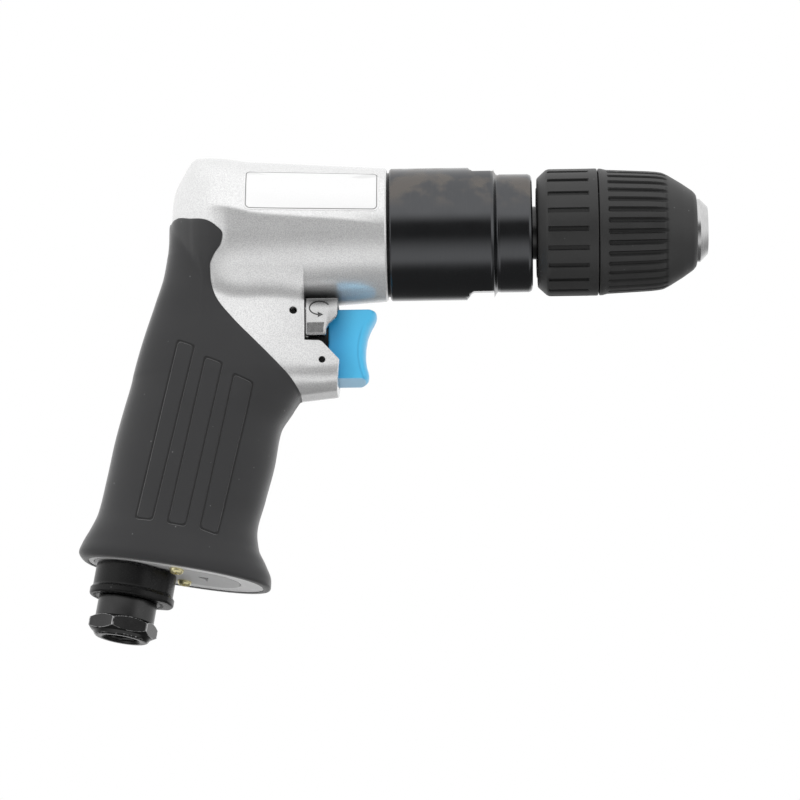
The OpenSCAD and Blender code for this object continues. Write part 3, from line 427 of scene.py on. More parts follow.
def grip_rubber():
    """Matte charcoal rubber: fine texture, a few pale specks, and the engraved outlines, sunk by a bump and
    darkened with painted shade.
    """
    f = Finish("grip_rubber", grey(50), Specular_IOR_Level=0.4, Sheen_Weight=0.6, Sheen_Roughness=0.4)
    grain = f.noise(0.2)
    cloud = f.noise(14.0, 3.0)
    speck = f.cells(3.6).step(0.09, 0.04) * f.noise(2.3, 1.0).step(0.56, 0.62)
    ring = reduce(Flow.most, [mark_line(f, corners) for corners in GRIP_MARKS]) * abs(f.y).step(9.0, 11.0)
    body = f.blend(grain * 0.45 + cloud * 0.55, shade(43, 43, 44), shade(53, 53, 54))
    # Painted shade in the engraved outlines.
    body = f.blend(ring * 0.85, body, grey(22))
    return f.coat(f.blend(speck * 0.6, body, grey(130)), 0.56 + grain * 0.12, grain * 0.12 - ring, 0.3)


def mark_line(f, corners):
    """1 on the line round a four-cornered slot, by the soft greatest of its sides' distances."""
    pts = np.array(corners)
    away = None
    for a, b in zip(pts, np.roll(pts, -1, 0)):
        d = b - a
        n = np.array([d[1], -d[0]]) / np.linalg.norm(d)
        if n @ (pts.mean(0) - a) > 0:
            n = -n
        reach = f.x * float(n[0]) + f.z * float(n[1]) - float(n @ a)
        away = reach if away is None else away.soft_most(reach, 2.0)
    return abs(away + 0.1).step(MARK_W * 0.7, MARK_W * 0.3)


def black_oxide():
    """Blued black steel: semi-gloss, with warm handled blotches on top and fine turning lines."""
    f = Finish("black_oxide", grey(86), Metallic=1.0)
    cloud = f.noise(9.0, 3.0)
    turning = f.noise(0.35, 1.0, 0.5, (6.0, 0.06, 0.06))
    warm = cloud.step(0.44, 0.62) * f.z.step(2.0, 9.0)
    body = f.blend(turning, shade(82, 83, 85), shade(92, 93, 95))
    rough = 0.15 + cloud.step(0.35, 0.75) * 0.06 + warm * 0.1
    return f.coat(f.blend(warm * 0.6, body, shade(116, 110, 104)), rough, turning, 0.002)


def sleeve_painted_shade(f):
    """Painted shade: 1 in the front sleeve's grooves and the rear one's channels, by their radius."""
    r = (f.y * f.y + f.z * f.z).root()
    over_floor = r - (GROOVE_FLOOR + 0.15) + (f.x - GROOVE_X) * GROOVE_LEAN
    groove = over_floor.step(0.45, 0.1) * f.x.step(-13.4, -14.2) * f.x.step(-34.2, -33.6)
    channel = r.step(21.1, 20.8) * f.x.step(-40.0, -40.6) * f.x.step(-53.8, -53.2)
    return groove.most(channel)


def moulded_black(name, level, rough, gloss, painted_hollow_shade=None):
    """Moulded plastic: a fine spark texture, slight greying, a little dust, and painted shade in hollows
    where given.
    """
    f = Finish(name, grey(level), Specular_IOR_Level=gloss)
    grain = f.noise(0.25)
    cloud = f.noise(8.0, 3.0)
    dust = f.cells(4.1).step(0.06, 0.03)
    body = f.blend(grain * 0.5 + cloud * 0.5, grey(level - 6), grey(level + 8))
    if painted_hollow_shade:
        # Painted shade in the hollows.
        body = f.blend(painted_hollow_shade(f) * 0.7, body, grey(16))
    return f.coat(f.blend(dust * 0.4, body, grey(140)), rough + grain * 0.12 + cloud * 0.06, grain, 0.012)


def trigger_blue():
    """Sky-blue plastic, semi-gloss, with painted light: paler to its front and foot, and a faint painted
    shade line along its front.
    """
    f = Finish("trigger_blue", shade(66, 176, 230), Specular_IOR_Level=0.5)
    grain = f.noise(0.4)
    cloud = f.noise(6.0)
    low = (f.z + 41.8) / 12.5
    # Painted shade: a darker line where the side turns into the rounded front.
    line = abs(f.x + 117.2 - low * low * 3.6).step(0.5, 0.1) * f.z.step(-31.0, -37.0)
    # Painted light and shade: paler to the front, darker back under the lever, with random mottle.
    painted_front_light_and_mottle = f.x.step(-126.0, -116.5) * 0.8 + cloud * 0.12 + grain * 0.08
    body = f.blend(painted_front_light_and_mottle, shade(44, 150, 206), shade(84, 196, 242))
    body = f.blend(line * 0.3, body, shade(34, 124, 180))
    # Painted light from below on the foot.
    body = f.blend(f.z.step(-50.7, -51.0) * 0.7, body, shade(176, 214, 238))
    return f.coat(body, 0.28 + grain * 0.08, grain, 0.006)


def ground_steel(name, level, rough):
    """Bare steel with fine grinding lines."""
    f = Finish(name, grey(level), Metallic=1.0)
    lines = f.noise(0.12, 2.0, 0.5, (0.05, 1.0, 1.0))
    cloud = f.noise(5.0)
    body = f.blend(lines * 0.6 + cloud * 0.4, grey(level - 22), grey(level + 16))
    return f.coat(body, rough + lines * 0.12 + cloud * 0.06, lines, 0.006)


def chuck_steel():
    """Ground bright nose on a blackened chuck body."""
    f = Finish("chuck_steel", grey(215), Metallic=1.0)
    lines = f.noise(0.12, 2.0, 0.5, (1.0, 0.05, 0.05))
    bright = f.x.step(-6.6, -6.2)
    body = f.blend(bright, grey(20), f.blend(lines, grey(178), grey(226)))
    return f.coat(body, 0.4 - bright * 0.2 + lines * 0.1, lines, 0.004)


def die_cast_zinc():
    """Plated die casting: bright, uneven, with painted shade at its top and where engraved; its faces lean
    up.
    """
    f = Finish("die_cast_zinc", grey(200), Metallic=1.0)
    cloud = f.noise(1.3, 3.0)
    fine = f.noise(0.3)
    # Painted shade in the engraved arrow, below the plate's outer face.
    painted_engraving_shade = abs(f.y).step(LEVER_HALF - 0.12, LEVER_HALF - 0.3) * f.z.step(-31.4, -31.2)
    crown = (f.z + 28.0).most(0.0)
    body = f.blend(cloud, grey(200), grey(228))
    # Painted shade: darker towards the top, under the barrel.
    body = f.blend(f.z.step(-28.0, -24.8) * 0.75, body, grey(84))
    relief = cloud * 0.012 + fine * 0.008 + crown * crown * 0.03 - f.z * 0.06
    return f.coat(f.blend(painted_engraving_shade, body, grey(96)), 0.2 + cloud * 0.08 + fine * 0.06, relief, 1.0)


def worn_black():
    """Blackened steel, worn bright in patches along the hexagon's edges and the collar's rim."""
    f = Finish("worn_black", grey(70), Metallic=1.0)
    dx, dz = f.x - float(BASE[0]), f.z - float(BASE[2])
    lx, lz = dx * BASE_COS - dz * BASE_SIN, dx * BASE_SIN + dz * BASE_COS
    r = (lx * lx + f.y * f.y).root()
    turns = [HEX_TURN + math.pi / 6 + i * math.pi / 3 for i in range(3)]
    flat = reduce(Flow.most, [abs(lx * math.cos(turn) + f.y * math.sin(turn)) for turn in turns])
    depth = (-HEX_TOP - lz).least(lz + HEX_TOP + HEX_LEN)
    cone = HEX_CONE[0] + (depth / HEX_CONE[2]).least(1.0) * HEX_CONE[1]
    patch = f.noise(1.6, 3.0, 0.6)
    scallop = abs(r - cone).step(0.2, 0.05) * flat.step(HEX_R - 0.25, HEX_R - 0.07)
    rim = r.step(11.3, 11.5).most(scallop) * patch.step(0.38, 0.55)
    end = (lz + INLET_END - 0.6).step(0.1, -0.2) * r.step(8.0, 8.5) * patch.step(0.5, 0.62)
    cloud = f.noise(5.0)
    body = f.blend(cloud, grey(58), grey(78))
    return f.coat(f.blend(rim.most(end), body, grey(190)), 0.2 + cloud * 0.12, patch, 0.012)


def bare_label():
    """White film with a thin grey line inside its edge, otherwise bare."""
    f = Finish("bare_label", grey(240), Specular_IOR_Level=0.5)
    spot = f.node("ShaderNodeUVMap", {"uv_map": "millimetres"})
    u, v, _ = spot.split()
    du = (abs(u) - (LABEL_SIZE[0] / 2 - LABEL_CORNER)).most(0.0)
    dv = (abs(v) - (LABEL_SIZE[1] / 2 - LABEL_CORNER)).most(0.0)
    away = (du * du + dv * dv).root()
    line = abs(away - 1.45).step(0.22, 0.12)
    grain = f.noise(0.3)
    film = f.blend(grain, grey(238), grey(248))
    return f.coat(f.blend(line * 0.85, film, grey(92)), 0.34 + grain * 0.1)


def plain_brass():
    """Yellow brass with fine turning lines."""
    f = Finish("plain_brass", shade(244, 230, 165), Metallic=0.75)
    lines = f.noise(0.25, 3.0)
    return f.coat(f.blend(lines, shade(236, 222, 150), shade(255, 250, 214)), 0.18 + lines * 0.14)


def pressed_felt():
    """Pressed fibre: tangled pale strands."""
    f = Finish("pressed_felt", shade(150, 146, 134))
    strand = f.noise(0.25, 4.0, 0.7, (1.0, 0.3, 1.6))
    body = f.blend(strand, shade(112, 108, 98), shade(178, 174, 160))
    return f.coat(body, 0.85 + strand * 0.1, strand, 0.15)


def base_grey(name, level):
    """Grey painted cast plate under the handle."""
    f = Finish(name, grey(level), Metallic=0.2)
    grain = f.noise(0.25)
    cloud = f.noise(5.0)
    body = f.blend(grain * 0.5 + cloud * 0.5, grey(level - 12), grey(level + 12))
    return f.coat(body, 0.42 + grain * 0.14, grain, 0.015)


# The rubber's engraved slots, as corners in the side view
GRIP_MARKS = [
    [[-176.3, -39.4], [-170.6, -41.6], [-184.2, -100.5], [-189.9, -99.6]],
    [[-167.2, -45.3], [-161.3, -47.7], [-173.4, -102.7], [-179.4, -101.5]],
    [[-157.8, -51.3], [-151.2, -54.4], [-163.0, -105.5], [-168.9, -103.4]],
]
MARK_W = 0.6
LEVER_HALF = 10.9
LABEL_MID = -131.8
LABEL_TURN, LABEL_SKEW = math.radians(25.6), math.radians(0.053)
LABEL_SIZE = (44.4, 17.2)
LABEL_CORNER = 2.0
# Floor of the front sleeve's grooves: station, radius there, and its fall along x
GROOVE_X, GROOVE_FLOOR, GROOVE_LEAN = -32.4, 19.8, 0.055
HEX_TURN = math.radians(18)
HEX_TOP, HEX_LEN, HEX_R = 17.5, 5.0, 10.05
# The cone that takes the hexagon's corners off: radius at its ends, growth, and the growth's run
HEX_CONE = (9.7, 1.9, 1.2)
INLET_END = 24.0

silver = cast_silver()
rubber = grip_rubber()
oxide = black_oxide()
sleeve_plastic = moulded_black("chuck_sleeve_plastic", 46, 0.36, 0.4, sleeve_painted_shade)
black_plastic = moulded_black("black_plastic", 15, 0.18, 0.24)
blue = trigger_blue()
steel = ground_steel("ground_steel", 205, 0.16)
nose_steel = chuck_steel()
dark_steel = ground_steel("hardened_steel", 92, 0.22)
zinc = die_cast_zinc()
inlet_black = worn_black()
label_film = bare_label()
brass = plain_brass()
felt = pressed_felt()
base_light = base_grey("base_light_grey", 242)
base_dark = base_grey("base_dark_grey", 208)
# Pin ends sit in holes in the lug; their dark colour is painted shade of those holes.
painted_shade_pins = ground_steel("pin_painted_shade", 40, 0.4)

# Housing: the zero level of a smooth field, met by rays from each section's middle

FRONT_X, FRONT_R = -107.1, 22.35
SLOPE = 0.0608
# Back of the barrel: station, half width, top, bottom
CAP = np.array([
    [-179.3, 3.2, 8, -3], [-178.9, 5.8, 12.5, -5.5], [-178.2, 8.2, 15.6, -7.5],
    [-177, 10.6, 18.4, -9.5], [-175.2, 13.2, 21.6, -12], [-173.6, 15.2, 24.3, -14.5],
    [-172.2, 16.8, 26.2, -16.5], [-170.8, 18.4, 26.9, -18.2], [-168, 20.8, 26.9, -20.3],
    [-164, 23.2, 26.6, -22.6], [-158, 24.9, 25.8, -24.6], [-154, 25.2, 25.2, -25.2],
])
# Ridge on the barrel's side: station, and elevation of its crest in degrees
BROW = np.array([
    [-170, 13], [-157, 6.6], [-150, 3.1], [-137, 0.5], [-123.5, -1.9], [-113.5, -5], [-107, -7.9],
])
# The handle from its base up: height and x of its back, the same of its front, half width, roundness
BACK_Z, BACK_X, FORE_Z, FORE_X, WIDTH, ROUND = np.array([
    [-110, -208.3, -120.88, -146.6, 18.5, 2.3], [-107.6, -209.7, -117.7, -146.4, 18.9, 2.3],
    [-104.6, -208.6, -112.8, -148, 18.6, 2.3], [-100, -205.9, -107.3, -150.4, 18, 2.4],
    [-95, -203.5, -102, -151, 17.6, 2.4], [-83, -200.6, -90.5, -148.3, 17.3, 2.5],
    [-70.5, -198, -78.8, -145.2, 17.3, 2.5], [-60, -195.2, -67, -143, 17.3, 2.6],
    [-52.5, -193, -59.5, -138.6, 17.2, 2.8], [-44, -190.8, -50, -133.8, 16.9, 3.2],
    [-34.5, -188, -38, -135, 16.2, 3.5], [-24.5, -184.8, -27, -134.9, 15.4, 3.5],
    [-14, -181.8, -15, -134.9, 14.7, 3.2], [-4, -180.5, -4, -135.3, 14.1, 2.8],
    [2, -180.2, 2, -137, 13.5, 2.6], [6, -180, 6, -140, 12.9, 2.6],
]).T
CHEEK_X = -134.7
LUG_X, LUG_HALF = -123.63, 11.7
LUG_Z, LUG_LEAN = -45.0, 0.0936
RAY_Z, RAY_REACH = -15.0, 90.0


def brow(x, y, z):
    """Growth of the barrel's radius along a brow between two planes that touch the round."""
    turn = np.arctan2(z, np.abs(y))
    foot = math.radians(-10)
    crest = np.radians(flow(x, BROW[:, 0], BROW[:, 1]))
    away = soft_least(turn - foot, 2 * crest - foot - turn, math.radians(4))
    return 1 / np.cos(np.clip(away, 0, 0.4) * ramp(x, -176, 10))


def barrel_field(x, y, z):
    """Negative inside the barrel: a superellipse that changes along x, with the brow."""
    start, radius = CAP[-1, :2]
    cone = radius + (start - x) * SLOPE
    half, top, low = (
        np.where(x > start, side * cone, flow(x, CAP[:, 0], CAP[:, i]))
        for i, side in ((1, 1), (2, 1), (3, -1))
    )
    n = 2.0 + 0.1 * ramp(x, start, -6)
    mid, up = (top + low) / 2, (top - low) / 2
    q = ((np.abs(y) / half) ** n + (np.abs(z - mid) / up) ** n) ** (1 / n) / brow(x, y, z)
    return np.maximum((q - 1) * np.minimum(half, up), CAP[0, 0] - 0.4 - x)


def cheek_field(x, y, z):
    """Negative inside the handle's metal: superellipses and the lug's slab."""
    back = flow(z, BACK_Z, BACK_X) + 0.5 + 2.0 * ramp(z, -8, 8)
    front = flow(z, FORE_Z, FORE_X) - 0.5
    middle = (BACK_Z + FORE_Z) / 2
    wide = flow(z, middle, WIDTH) - 0.5
    n = flow(z, middle, ROUND)
    q = ((np.abs(x - (back + front) / 2) / ((front - back) / 2)) ** n + (np.abs(y) / wide) ** n) ** (1 / n)
    hull = np.maximum((q - 1) * wide, z - 6)
    slab = np.maximum(np.abs(y) - LUG_HALF, np.maximum(-165 - x, z - 6))
    under = -56.0 + (np.maximum(x, -140) + 136) * 0.104
    return soft_most(soft_least(hull, slab, 6.0), under - z, 8.0)


def housing_field(x, y, z):
    """Negative inside the casting: barrel and handle, with a fillet that widens forwards."""
    fillet = 1.2 + 3.8 * ramp(x, -174, 10)
    return soft_least(barrel_field(x, y, z), cheek_field(x, y, z), fillet)


def ray_exit(field, start, spoke, low, high, halvings):
    """How far along its spoke each ray from a start leaves a field, by halving."""
    for _ in range(halvings):
        r = (low + high) / 2
        p = start + spoke * r[..., None]
        inside = field(p[..., 0], p[..., 1], p[..., 2]) < 0
        low, high = np.where(inside, r, low), np.where(inside, high, r)
    return low


def ray_radii(field, xs, middle_z, a):
    """Radius at which each ray from a section's middle leaves a field."""
    x = xs + 0 * a
    start = np.stack([x, 0 * x, middle_z + 0 * x], -1)
    return ray_exit(field, start, round_x(0 * x, 1 + 0 * x, a), 0 * x, RAY_REACH + 0 * x, 36)


def front_rows(front, length, rows, rim):
    """Stations back from a front face, and how far its rounded rim sets in at each."""
    lip = rim * (1 - np.cos(np.linspace(0, np.pi / 2, 6)))
    rest = rim + (length - rim) * np.sin(np.pi / 2 * np.linspace(0, 1, rows))
    back = np.concatenate([lip, rest[1:]])[:, None]
    set_in = rim - np.sqrt(np.clip(rim ** 2 - (rim - np.minimum(back, rim)) ** 2, 0, None))
    return front - back, set_in


def casting_rings():
    """Rear of the housing; its front rim is rounded where the cheeks stand off the barrel."""
    a = circle(360)[None]
    x, set_in = front_rows(CHEEK_X, CHEEK_X - CAP[0, 0], 120, 0.45)
    whole = ray_radii(housing_field, x, RAY_Z, a)
    stand = whole - ray_radii(barrel_field, x, RAY_Z, a)
    above_lug = ramp(RAY_Z + whole * np.cos(a), -39.5, 0.5)
    radius = whole - set_in * ramp(stand, 0, 0.8) * above_lug
    return round_x(x, radius, a) + [0, 0, RAY_Z]


def lug_rings():
    """Lug round the trigger: sections of the cheeks, with a leaning, rounded front."""
    a = circle(240)[None]
    x, set_in = front_rows(LUG_X, LUG_X - CHEEK_X, 36, 0.35)
    radius = ray_radii(cheek_field, x, LUG_Z, a) - set_in
    rings = round_x(x, radius, a) + [0, 0, LUG_Z]
    share = (x - CHEEK_X) / (LUG_X - CHEEK_X)
    rings[..., 0] += share * LUG_LEAN * (rings[..., 2] + 50.0)
    return rings


SLOT = block((-137.5, -6.7, -51.6), (-100.0, 6.7, -30.0))
LEVER_HOLE = disc(-138.3, -29.2, 1.3)
TRIGGER_HOLE = disc(-128.9, -45.75, 1.15)
joint = CHEEK_X - 0.3
x, r = np.hsplit(rows_of([
    [joint, 0], [joint, FRONT_R + (FRONT_X - joint) * SLOPE], [FRONT_X - 0.6, FRONT_R + 0.03],
    [FRONT_X, FRONT_R - 0.5], [FRONT_X, 0],
], 2.0, 0.02), 2)
a = circle(360)[None]
barrel = solid("housing_barrel", skin(round_x(x, r * brow(x + 0 * a, np.sin(a), np.cos(a)), a)))
dress(barrel, silver, "housing", ["housing"])

casting = solid("housing_casting", skin(casting_rings()))
cut(casting, SLOT, prism(LEVER_HOLE, -40, 40))
dress(casting, silver, "housing", (), 40)

RELIEF = [
    [-142, -5], [-142, -39.14], [-129.2, -39.2], [-123, -46], [-118, -52], [-110, -52], [-110, -5],
]
lug = solid("housing_lug", skin(lug_rings()))
cut(lug, prism(loop(RELIEF, 1.2), -30, 30), SLOT, prism(TRIGGER_HOLE, -40, 40))
dress(lug, silver, "housing", (), 40)

# Rubber grip: rings along the handle, lifted over the casting, cut to its edge in the side view

RUBBER_EDGE = np.array([
    [-186, 4], [-177, 3.6], [-172.5, 1.9], [-167.2, 0.1], [-163.5, -2.4], [-161.1, -5.6],
    [-161.7, -8.4], [-164.2, -11.5], [-165.7, -14.5], [-165.6, -18], [-165, -21.2], [-163.6, -24.9],
    [-158.1, -32.2], [-151.2, -39.5], [-144.5, -46.4], [-138.9, -52.4], [-136.2, -56], [-134.4, -58.4],
])


def power(v, p):
    """A power that keeps its base's sign."""
    return np.sign(v) * np.abs(v) ** p


def handle_rings(grow, stations, count, below=0.0):
    """Superellipse rings along the handle, from back to front, and their middles."""
    run = run_along(np.stack([BACK_X + FORE_X, BACK_Z + FORE_Z], -1) / 2)
    columns = (BACK_X, BACK_Z, FORE_X, FORE_Z, WIDTH, ROUND)
    bx, bz, fx, fz, w, n = (flow(run[-1] * stations, run, column)[:, None] for column in columns)
    drop = np.where(np.arange(len(stations)) == 0, below, 0.0)[:, None]
    bx, fx = bx - drop * BASE_SIN, fx - drop * BASE_SIN
    bz, fz = bz - drop * BASE_COS, fz - drop * BASE_COS
    a = circle(count)[None]
    half = np.hypot(fx - bx, fz - bz) / 2
    along = (half + grow) * power(np.cos(a), 2 / n) / (2 * half)
    side = (w + grow) * power(np.sin(a), 2 / n)
    mx, mz = (bx + fx) / 2, (bz + fz) / 2
    rings = np.stack([mx + (fx - bx) * along, side, mz + (fz - bz) * along], -1)
    return rings, np.stack([mx, 0 * mx, mz], -1)


def smooth_line(points, count):
    """A smooth line through points: monotone cubics over the run along them."""
    run = run_along(points)
    s = np.linspace(0, run[-1], count)
    return np.stack([flow(s, run, points[:, 0]), flow(s, run, points[:, 1])], -1)


def edge_distance(x, z, line):
    """Distance in the side view from a line, positive to the right of its direction."""
    best = np.full_like(x, 1e9)
    side = np.zeros_like(x)
    for a, b in zip(line[:-1], line[1:]):
        d = b - a
        u = np.clip(((x - a[0]) * d[0] + (z - a[1]) * d[1]) / (d @ d), 0, 1)
        away = np.hypot(x - a[0] - u * d[0], z - a[1] - u * d[1])
        near = away < best
        best = np.where(near, away, best)
        side = np.where(near, d[1] * (x - a[0]) - d[0] * (z - a[1]), side)
    return best * np.sign(side)


def grip_rings():
    """Rubber: the loft, or a skin over the casting where that is out of it, eased at the edge."""
    stations = np.concatenate([np.linspace(0, 0.008, 6), np.linspace(0.012, 1, 230)])
    foot = np.clip(1 - stations / 0.008, 0, 1)[:, None]
    rings, middle = handle_rings(-1.0 * (1 - np.sqrt(1 - foot ** 2)), stations, 300)
    spoke = rings - middle
    loft = np.linalg.norm(spoke, axis=-1)
    spoke = spoke / loft[..., None]
    low = ray_exit(housing_field, middle, spoke, loft - 3.0, loft + 10.0, 24)
    full = soft_most(loft, low + 0.4, 0.5)
    p = middle + spoke * full[..., None]
    d = edge_distance(p[..., 0], p[..., 2], edge_line)
    share = ramp(d, -0.5, 1.8)
    floor = np.maximum(low + 0.05, full - 1.2)
    radius = floor + (full - floor) * (1 - (1 - share) ** 2)
    return middle + spoke * radius[..., None]


edge_line = smooth_line(RUBBER_EDGE, 150)
metal_side = np.concatenate([edge_line, [[-110.0, -58.4], [-110.0, 40.0], [-200.0, 40.0], [-200.0, 5.0]]])
inner, _ = handle_rings(-2.4, np.linspace(0, 1, 90), 120, 3.0)
grip = solid("rubber_grip", skin(grip_rings()))
cut(grip, prism(metal_side, -60, 60), skin(inner))
dress(grip, rubber, "housing", ["grip_sleeve"], 45)

# Label: a bare film bent round the barrel

def label_patch():
    """A rounded rectangle bent round the barrel, in rings from its rim to its middle."""
    u, v = LABEL_SIZE[0] / 2, LABEL_SIZE[1] / 2
    rim = loop([[-u, -v], [u, -v], [u, v], [-u, v]], LABEL_CORNER, 9)
    rim = rows_of(np.concatenate([rim, rim[:1]]), 0.6, 0.0)[:-1]
    shrink = np.concatenate([[1.0, 1.0], np.linspace(0.97, 0.02, 26)])
    lift = np.concatenate([[0.02, 0.14], np.full(26, 0.16)])
    flat = rim[None] * shrink[:, None, None]
    x = LABEL_MID + flat[..., 0]
    r = FRONT_R + (FRONT_X - x) * SLOPE
    a = LABEL_TURN + LABEL_SKEW * flat[..., 0] + flat[..., 1] / r
    r = r * brow(x, np.cos(a), np.sin(a)) + lift[:, None]
    return np.stack([x, -r * np.cos(a), r * np.sin(a)], -1), flat


rings, flat = label_patch()
label = solid("bare_label", skin(rings))
layer = label.data.uv_layers.new(name="millimetres")
corner = np.zeros(len(label.data.loops), int)
label.data.loops.foreach_get("vertex_index", corner)
spots = np.concatenate([flat.reshape(-1, 2), [[99.0, 99.0]], [[0.0, 0.0]]])
layer.data.foreach_set("uv", spots[corner].ravel())
dress(label, label_film, "housing", ["label_plate"], 50)

# Gear case and chuck sleeves: radius from station and angle

CASE_R = 22.2
FLAT_TOP, FLAT_LOW, FLAT_TURN = 20.7, 19.5, math.radians(-14)
GROOVES, CHANNELS = 34, 21


def case_rings():
    """Gear case: a turned profile with two wrench flats that run out on ramps."""
    x, r = np.hsplit(rows_of([
        [-106.3, 0.0], [-106.3, CASE_R - 0.6], [-105.7, CASE_R], [-72.5, CASE_R], [-71.6, CASE_R - 0.6],
        [-70.9, 20.3], [-70.5, 19.75], [-70.1, 19.6], [-69.5, 19.8], [-60, 19.8], [-59.1, 19.4],
        [-58.7, 18.5], [-58.7, 0],
    ]), 2)
    half, low_half = math.acos(FLAT_TOP / CASE_R), math.acos(FLAT_LOW / CASE_R)
    corners = FLAT_TURN + np.array([-half, half, np.pi - low_half, np.pi + low_half])
    a = np.sort(np.concatenate([circle(240), corners % (2 * np.pi)]))[None]
    toward_flat = np.cos(a - FLAT_TURN)
    flat = np.where(toward_flat > 0, FLAT_TOP, FLAT_LOW) + ramp(x, -78.8, -1.9) * 2.8
    reach = np.where(x > -71.6, 30.0, flat / np.maximum(np.abs(toward_flat), 0.05))
    return round_x(x, np.minimum(r, reach), a)


def front_sleeve_rings():
    """Front sleeve: a turned profile with straight, round-bottomed grooves."""
    x, r = np.hsplit(rows_of([
        [-36.55, 18], [-36.55, 20.9], [-36.3, 21.25], [-35.4, 21.2], [-33.7, 20.75], [-26, 20.4],
        [-20, 20.1], [-17, 19.85], [-15, 19.5], [-13.1, 18.6], [-8.5, 15.8], [-4.9, 13.3],
        [-4, 12.3], [-3.7, 11.6], [-3.7, 11], [-13.4, 11], [-13.4, 18],
    ], 0.5, 0.5), 2)
    a = circle(GROOVES * 16)[None]
    pitch = 2 * np.pi / GROOVES
    across = np.abs((a + pitch / 2) % pitch - pitch / 2) * 20.2
    floor = GROOVE_FLOOR - GROOVE_LEAN * (x - GROOVE_X) + np.clip(-33.2 - x, 0, None) * 2.0
    bowl = floor + (across / 0.9) ** 4 * 0.95
    return round_x(x, np.where((x > -34.4) & (r > 15), np.minimum(r, bowl), r), a)


def rear_sleeve_rings():
    """Rear sleeve: a turned profile with shallow, straight channels."""
    x, r = np.hsplit(rows_of([
        [-57, 9.2], [-57, 18.2], [-54, 20.95], [-53, 21.3], [-37.1, 21.3], [-36.8, 21],
        [-36.8, 9.2],
    ], 0.6, 0.4), 2)
    share = np.array([0.0, 0.06, 0.11, 0.14, 0.3, 0.45, 0.6, 0.75, 0.86, 0.89, 0.94])
    a = ((np.arange(CHANNELS)[:, None] + share).ravel() / CHANNELS * 2 * np.pi)[None]
    part = np.tile(share, CHANNELS)[None]
    channel = (part < 0.13) | (part > 0.87)
    outer = (x > -53.6) & (x < -40.3) & (r > 20)
    return round_x(x, np.where(outer & channel, np.minimum(r, 20.65), r), a)


dress(solid("gear_case_skin", skin(case_rings())), oxide, "housing", ["gear_case"], 25)
front_sleeve = solid("chuck_front_skin", hollow(front_sleeve_rings()))
dress(front_sleeve, sleeve_plastic, "chuck_sleeve", ["chuck_front_sleeve"], 38)
rear_sleeve = solid("chuck_rear_skin", hollow(rear_sleeve_rings()))
dress(rear_sleeve, sleeve_plastic, "spindle", ["chuck_rear_sleeve"], 38)

# Trigger: slices across Y of an outline in the side view, with a rounded front

TRIGGER = [
    [-127, -32], [-125.2, -29], [-124.6, -27.3], [-111.9, -27.3], [-111, -27.7], [-110.9, -28.8],
    [-111.5, -30.3], [-112.9, -32.8], [-114, -35.8], [-114.6, -39.6], [-114.65, -43.6], [-114.2, -46.6],
    [-113.6, -48.6], [-113.8, -50.1], [-115, -51.1], [-127, -51.1],
]
TRIGGER_HALF = 6.3
TRAVEL = 4.5
PIN_X, PIN_Z, PIN_SLOT_R = -129.2, -45.5, 1.15


def trigger_rings():
    """Trigger: the outline across Y, its front set back toward the sides."""
    flat = loop(TRIGGER, 0.6, 5)
    y = np.linspace(-TRIGGER_HALF, TRIGGER_HALF, 21)[:, None]
    sag = 1.6 * (np.abs(y) / TRIGGER_HALF) ** 3.5 * ramp(flat[:, 0], -124, 10)
    return np.stack([flat[:, 0] - sag, y + 0 * sag, flat[:, 1] + 0 * sag], -1)


def pin_slot():
    """A cutter for the cross pin's slot, as long as the trigger's travel."""
    t = np.radians(np.linspace(-90, 90, 13))
    end = PIN_SLOT_R * spots_at(t)
    front, back = [PIN_X + TRAVEL, PIN_Z] + end, [PIN_X - 0.1, PIN_Z] - end
    return prism(np.concatenate([front, back]), -9.0, 9.0)


trigger = rounded(solid("trigger_blade", capped(trigger_rings())), 0.9, 50, 5)
dress(cut(trigger, pin_slot()), blue, "trigger", ["trigger"], 50)
tail = rounded(solid("trigger_tail", block((-132.3, -3.0, -48.2), (-125.0, 3.0, -43.2))), 0.3)
dress(cut(tail, pin_slot()), blue, "trigger")

# Reverse lever: two side plates with a sunk panel and an arrow, and the bridge and wall between them

LEVER = [
    [-134.3, -24.4], [-123.5, -24.4], [-123.7, -29.9], [-124.3, -31.2], [-126.6, -33.3], [-127.5, -34.8],
    [-127.6, -37], [-134.3, -37],
]
PANEL = np.array([[-133.9, -32.8], [-128.1, -32.8], [-128.4, -34.6], [-128.4, -36.4], [-133.9, -36.4]])
# The lever's turn each way, the valve's axis below the barrel's, and the barrel's radius with clearance
LEVER_TURN, VALVE_DROP, SWEEP_R = math.radians(10), 38.0, 24.15


def arrow_tools(low, high):
    """A curved arrow as cutters: most of an ellipse's turn, and a pointed end."""
    t = np.radians(np.linspace(25, 262, 40))
    outer, inner = ([-129.7, -27.9] + spots_at(t) * [3.3 + w, 2.25 + w] for w in (0.22, -0.22))
    head = [[-130.3, -29.2], [-128.4, -30.15], [-130.3, -31.1]]
    return prism(np.concatenate([outer, inner[::-1]]), low, high), prism(head, low, high)


def barrel_sweep(side):
    """A cutter: the barrel, swung about the valve's axis by the lever's turn."""
    x = np.array([[-140.0], [-118.0]])
    ring = round_x(x, SWEEP_R + 0 * x, circle(160))
    across, rise = VALVE_DROP * math.sin(LEVER_TURN), VALVE_DROP * (math.cos(LEVER_TURN) - 1)
    return capped(ring + [0.0, side * across, rise])


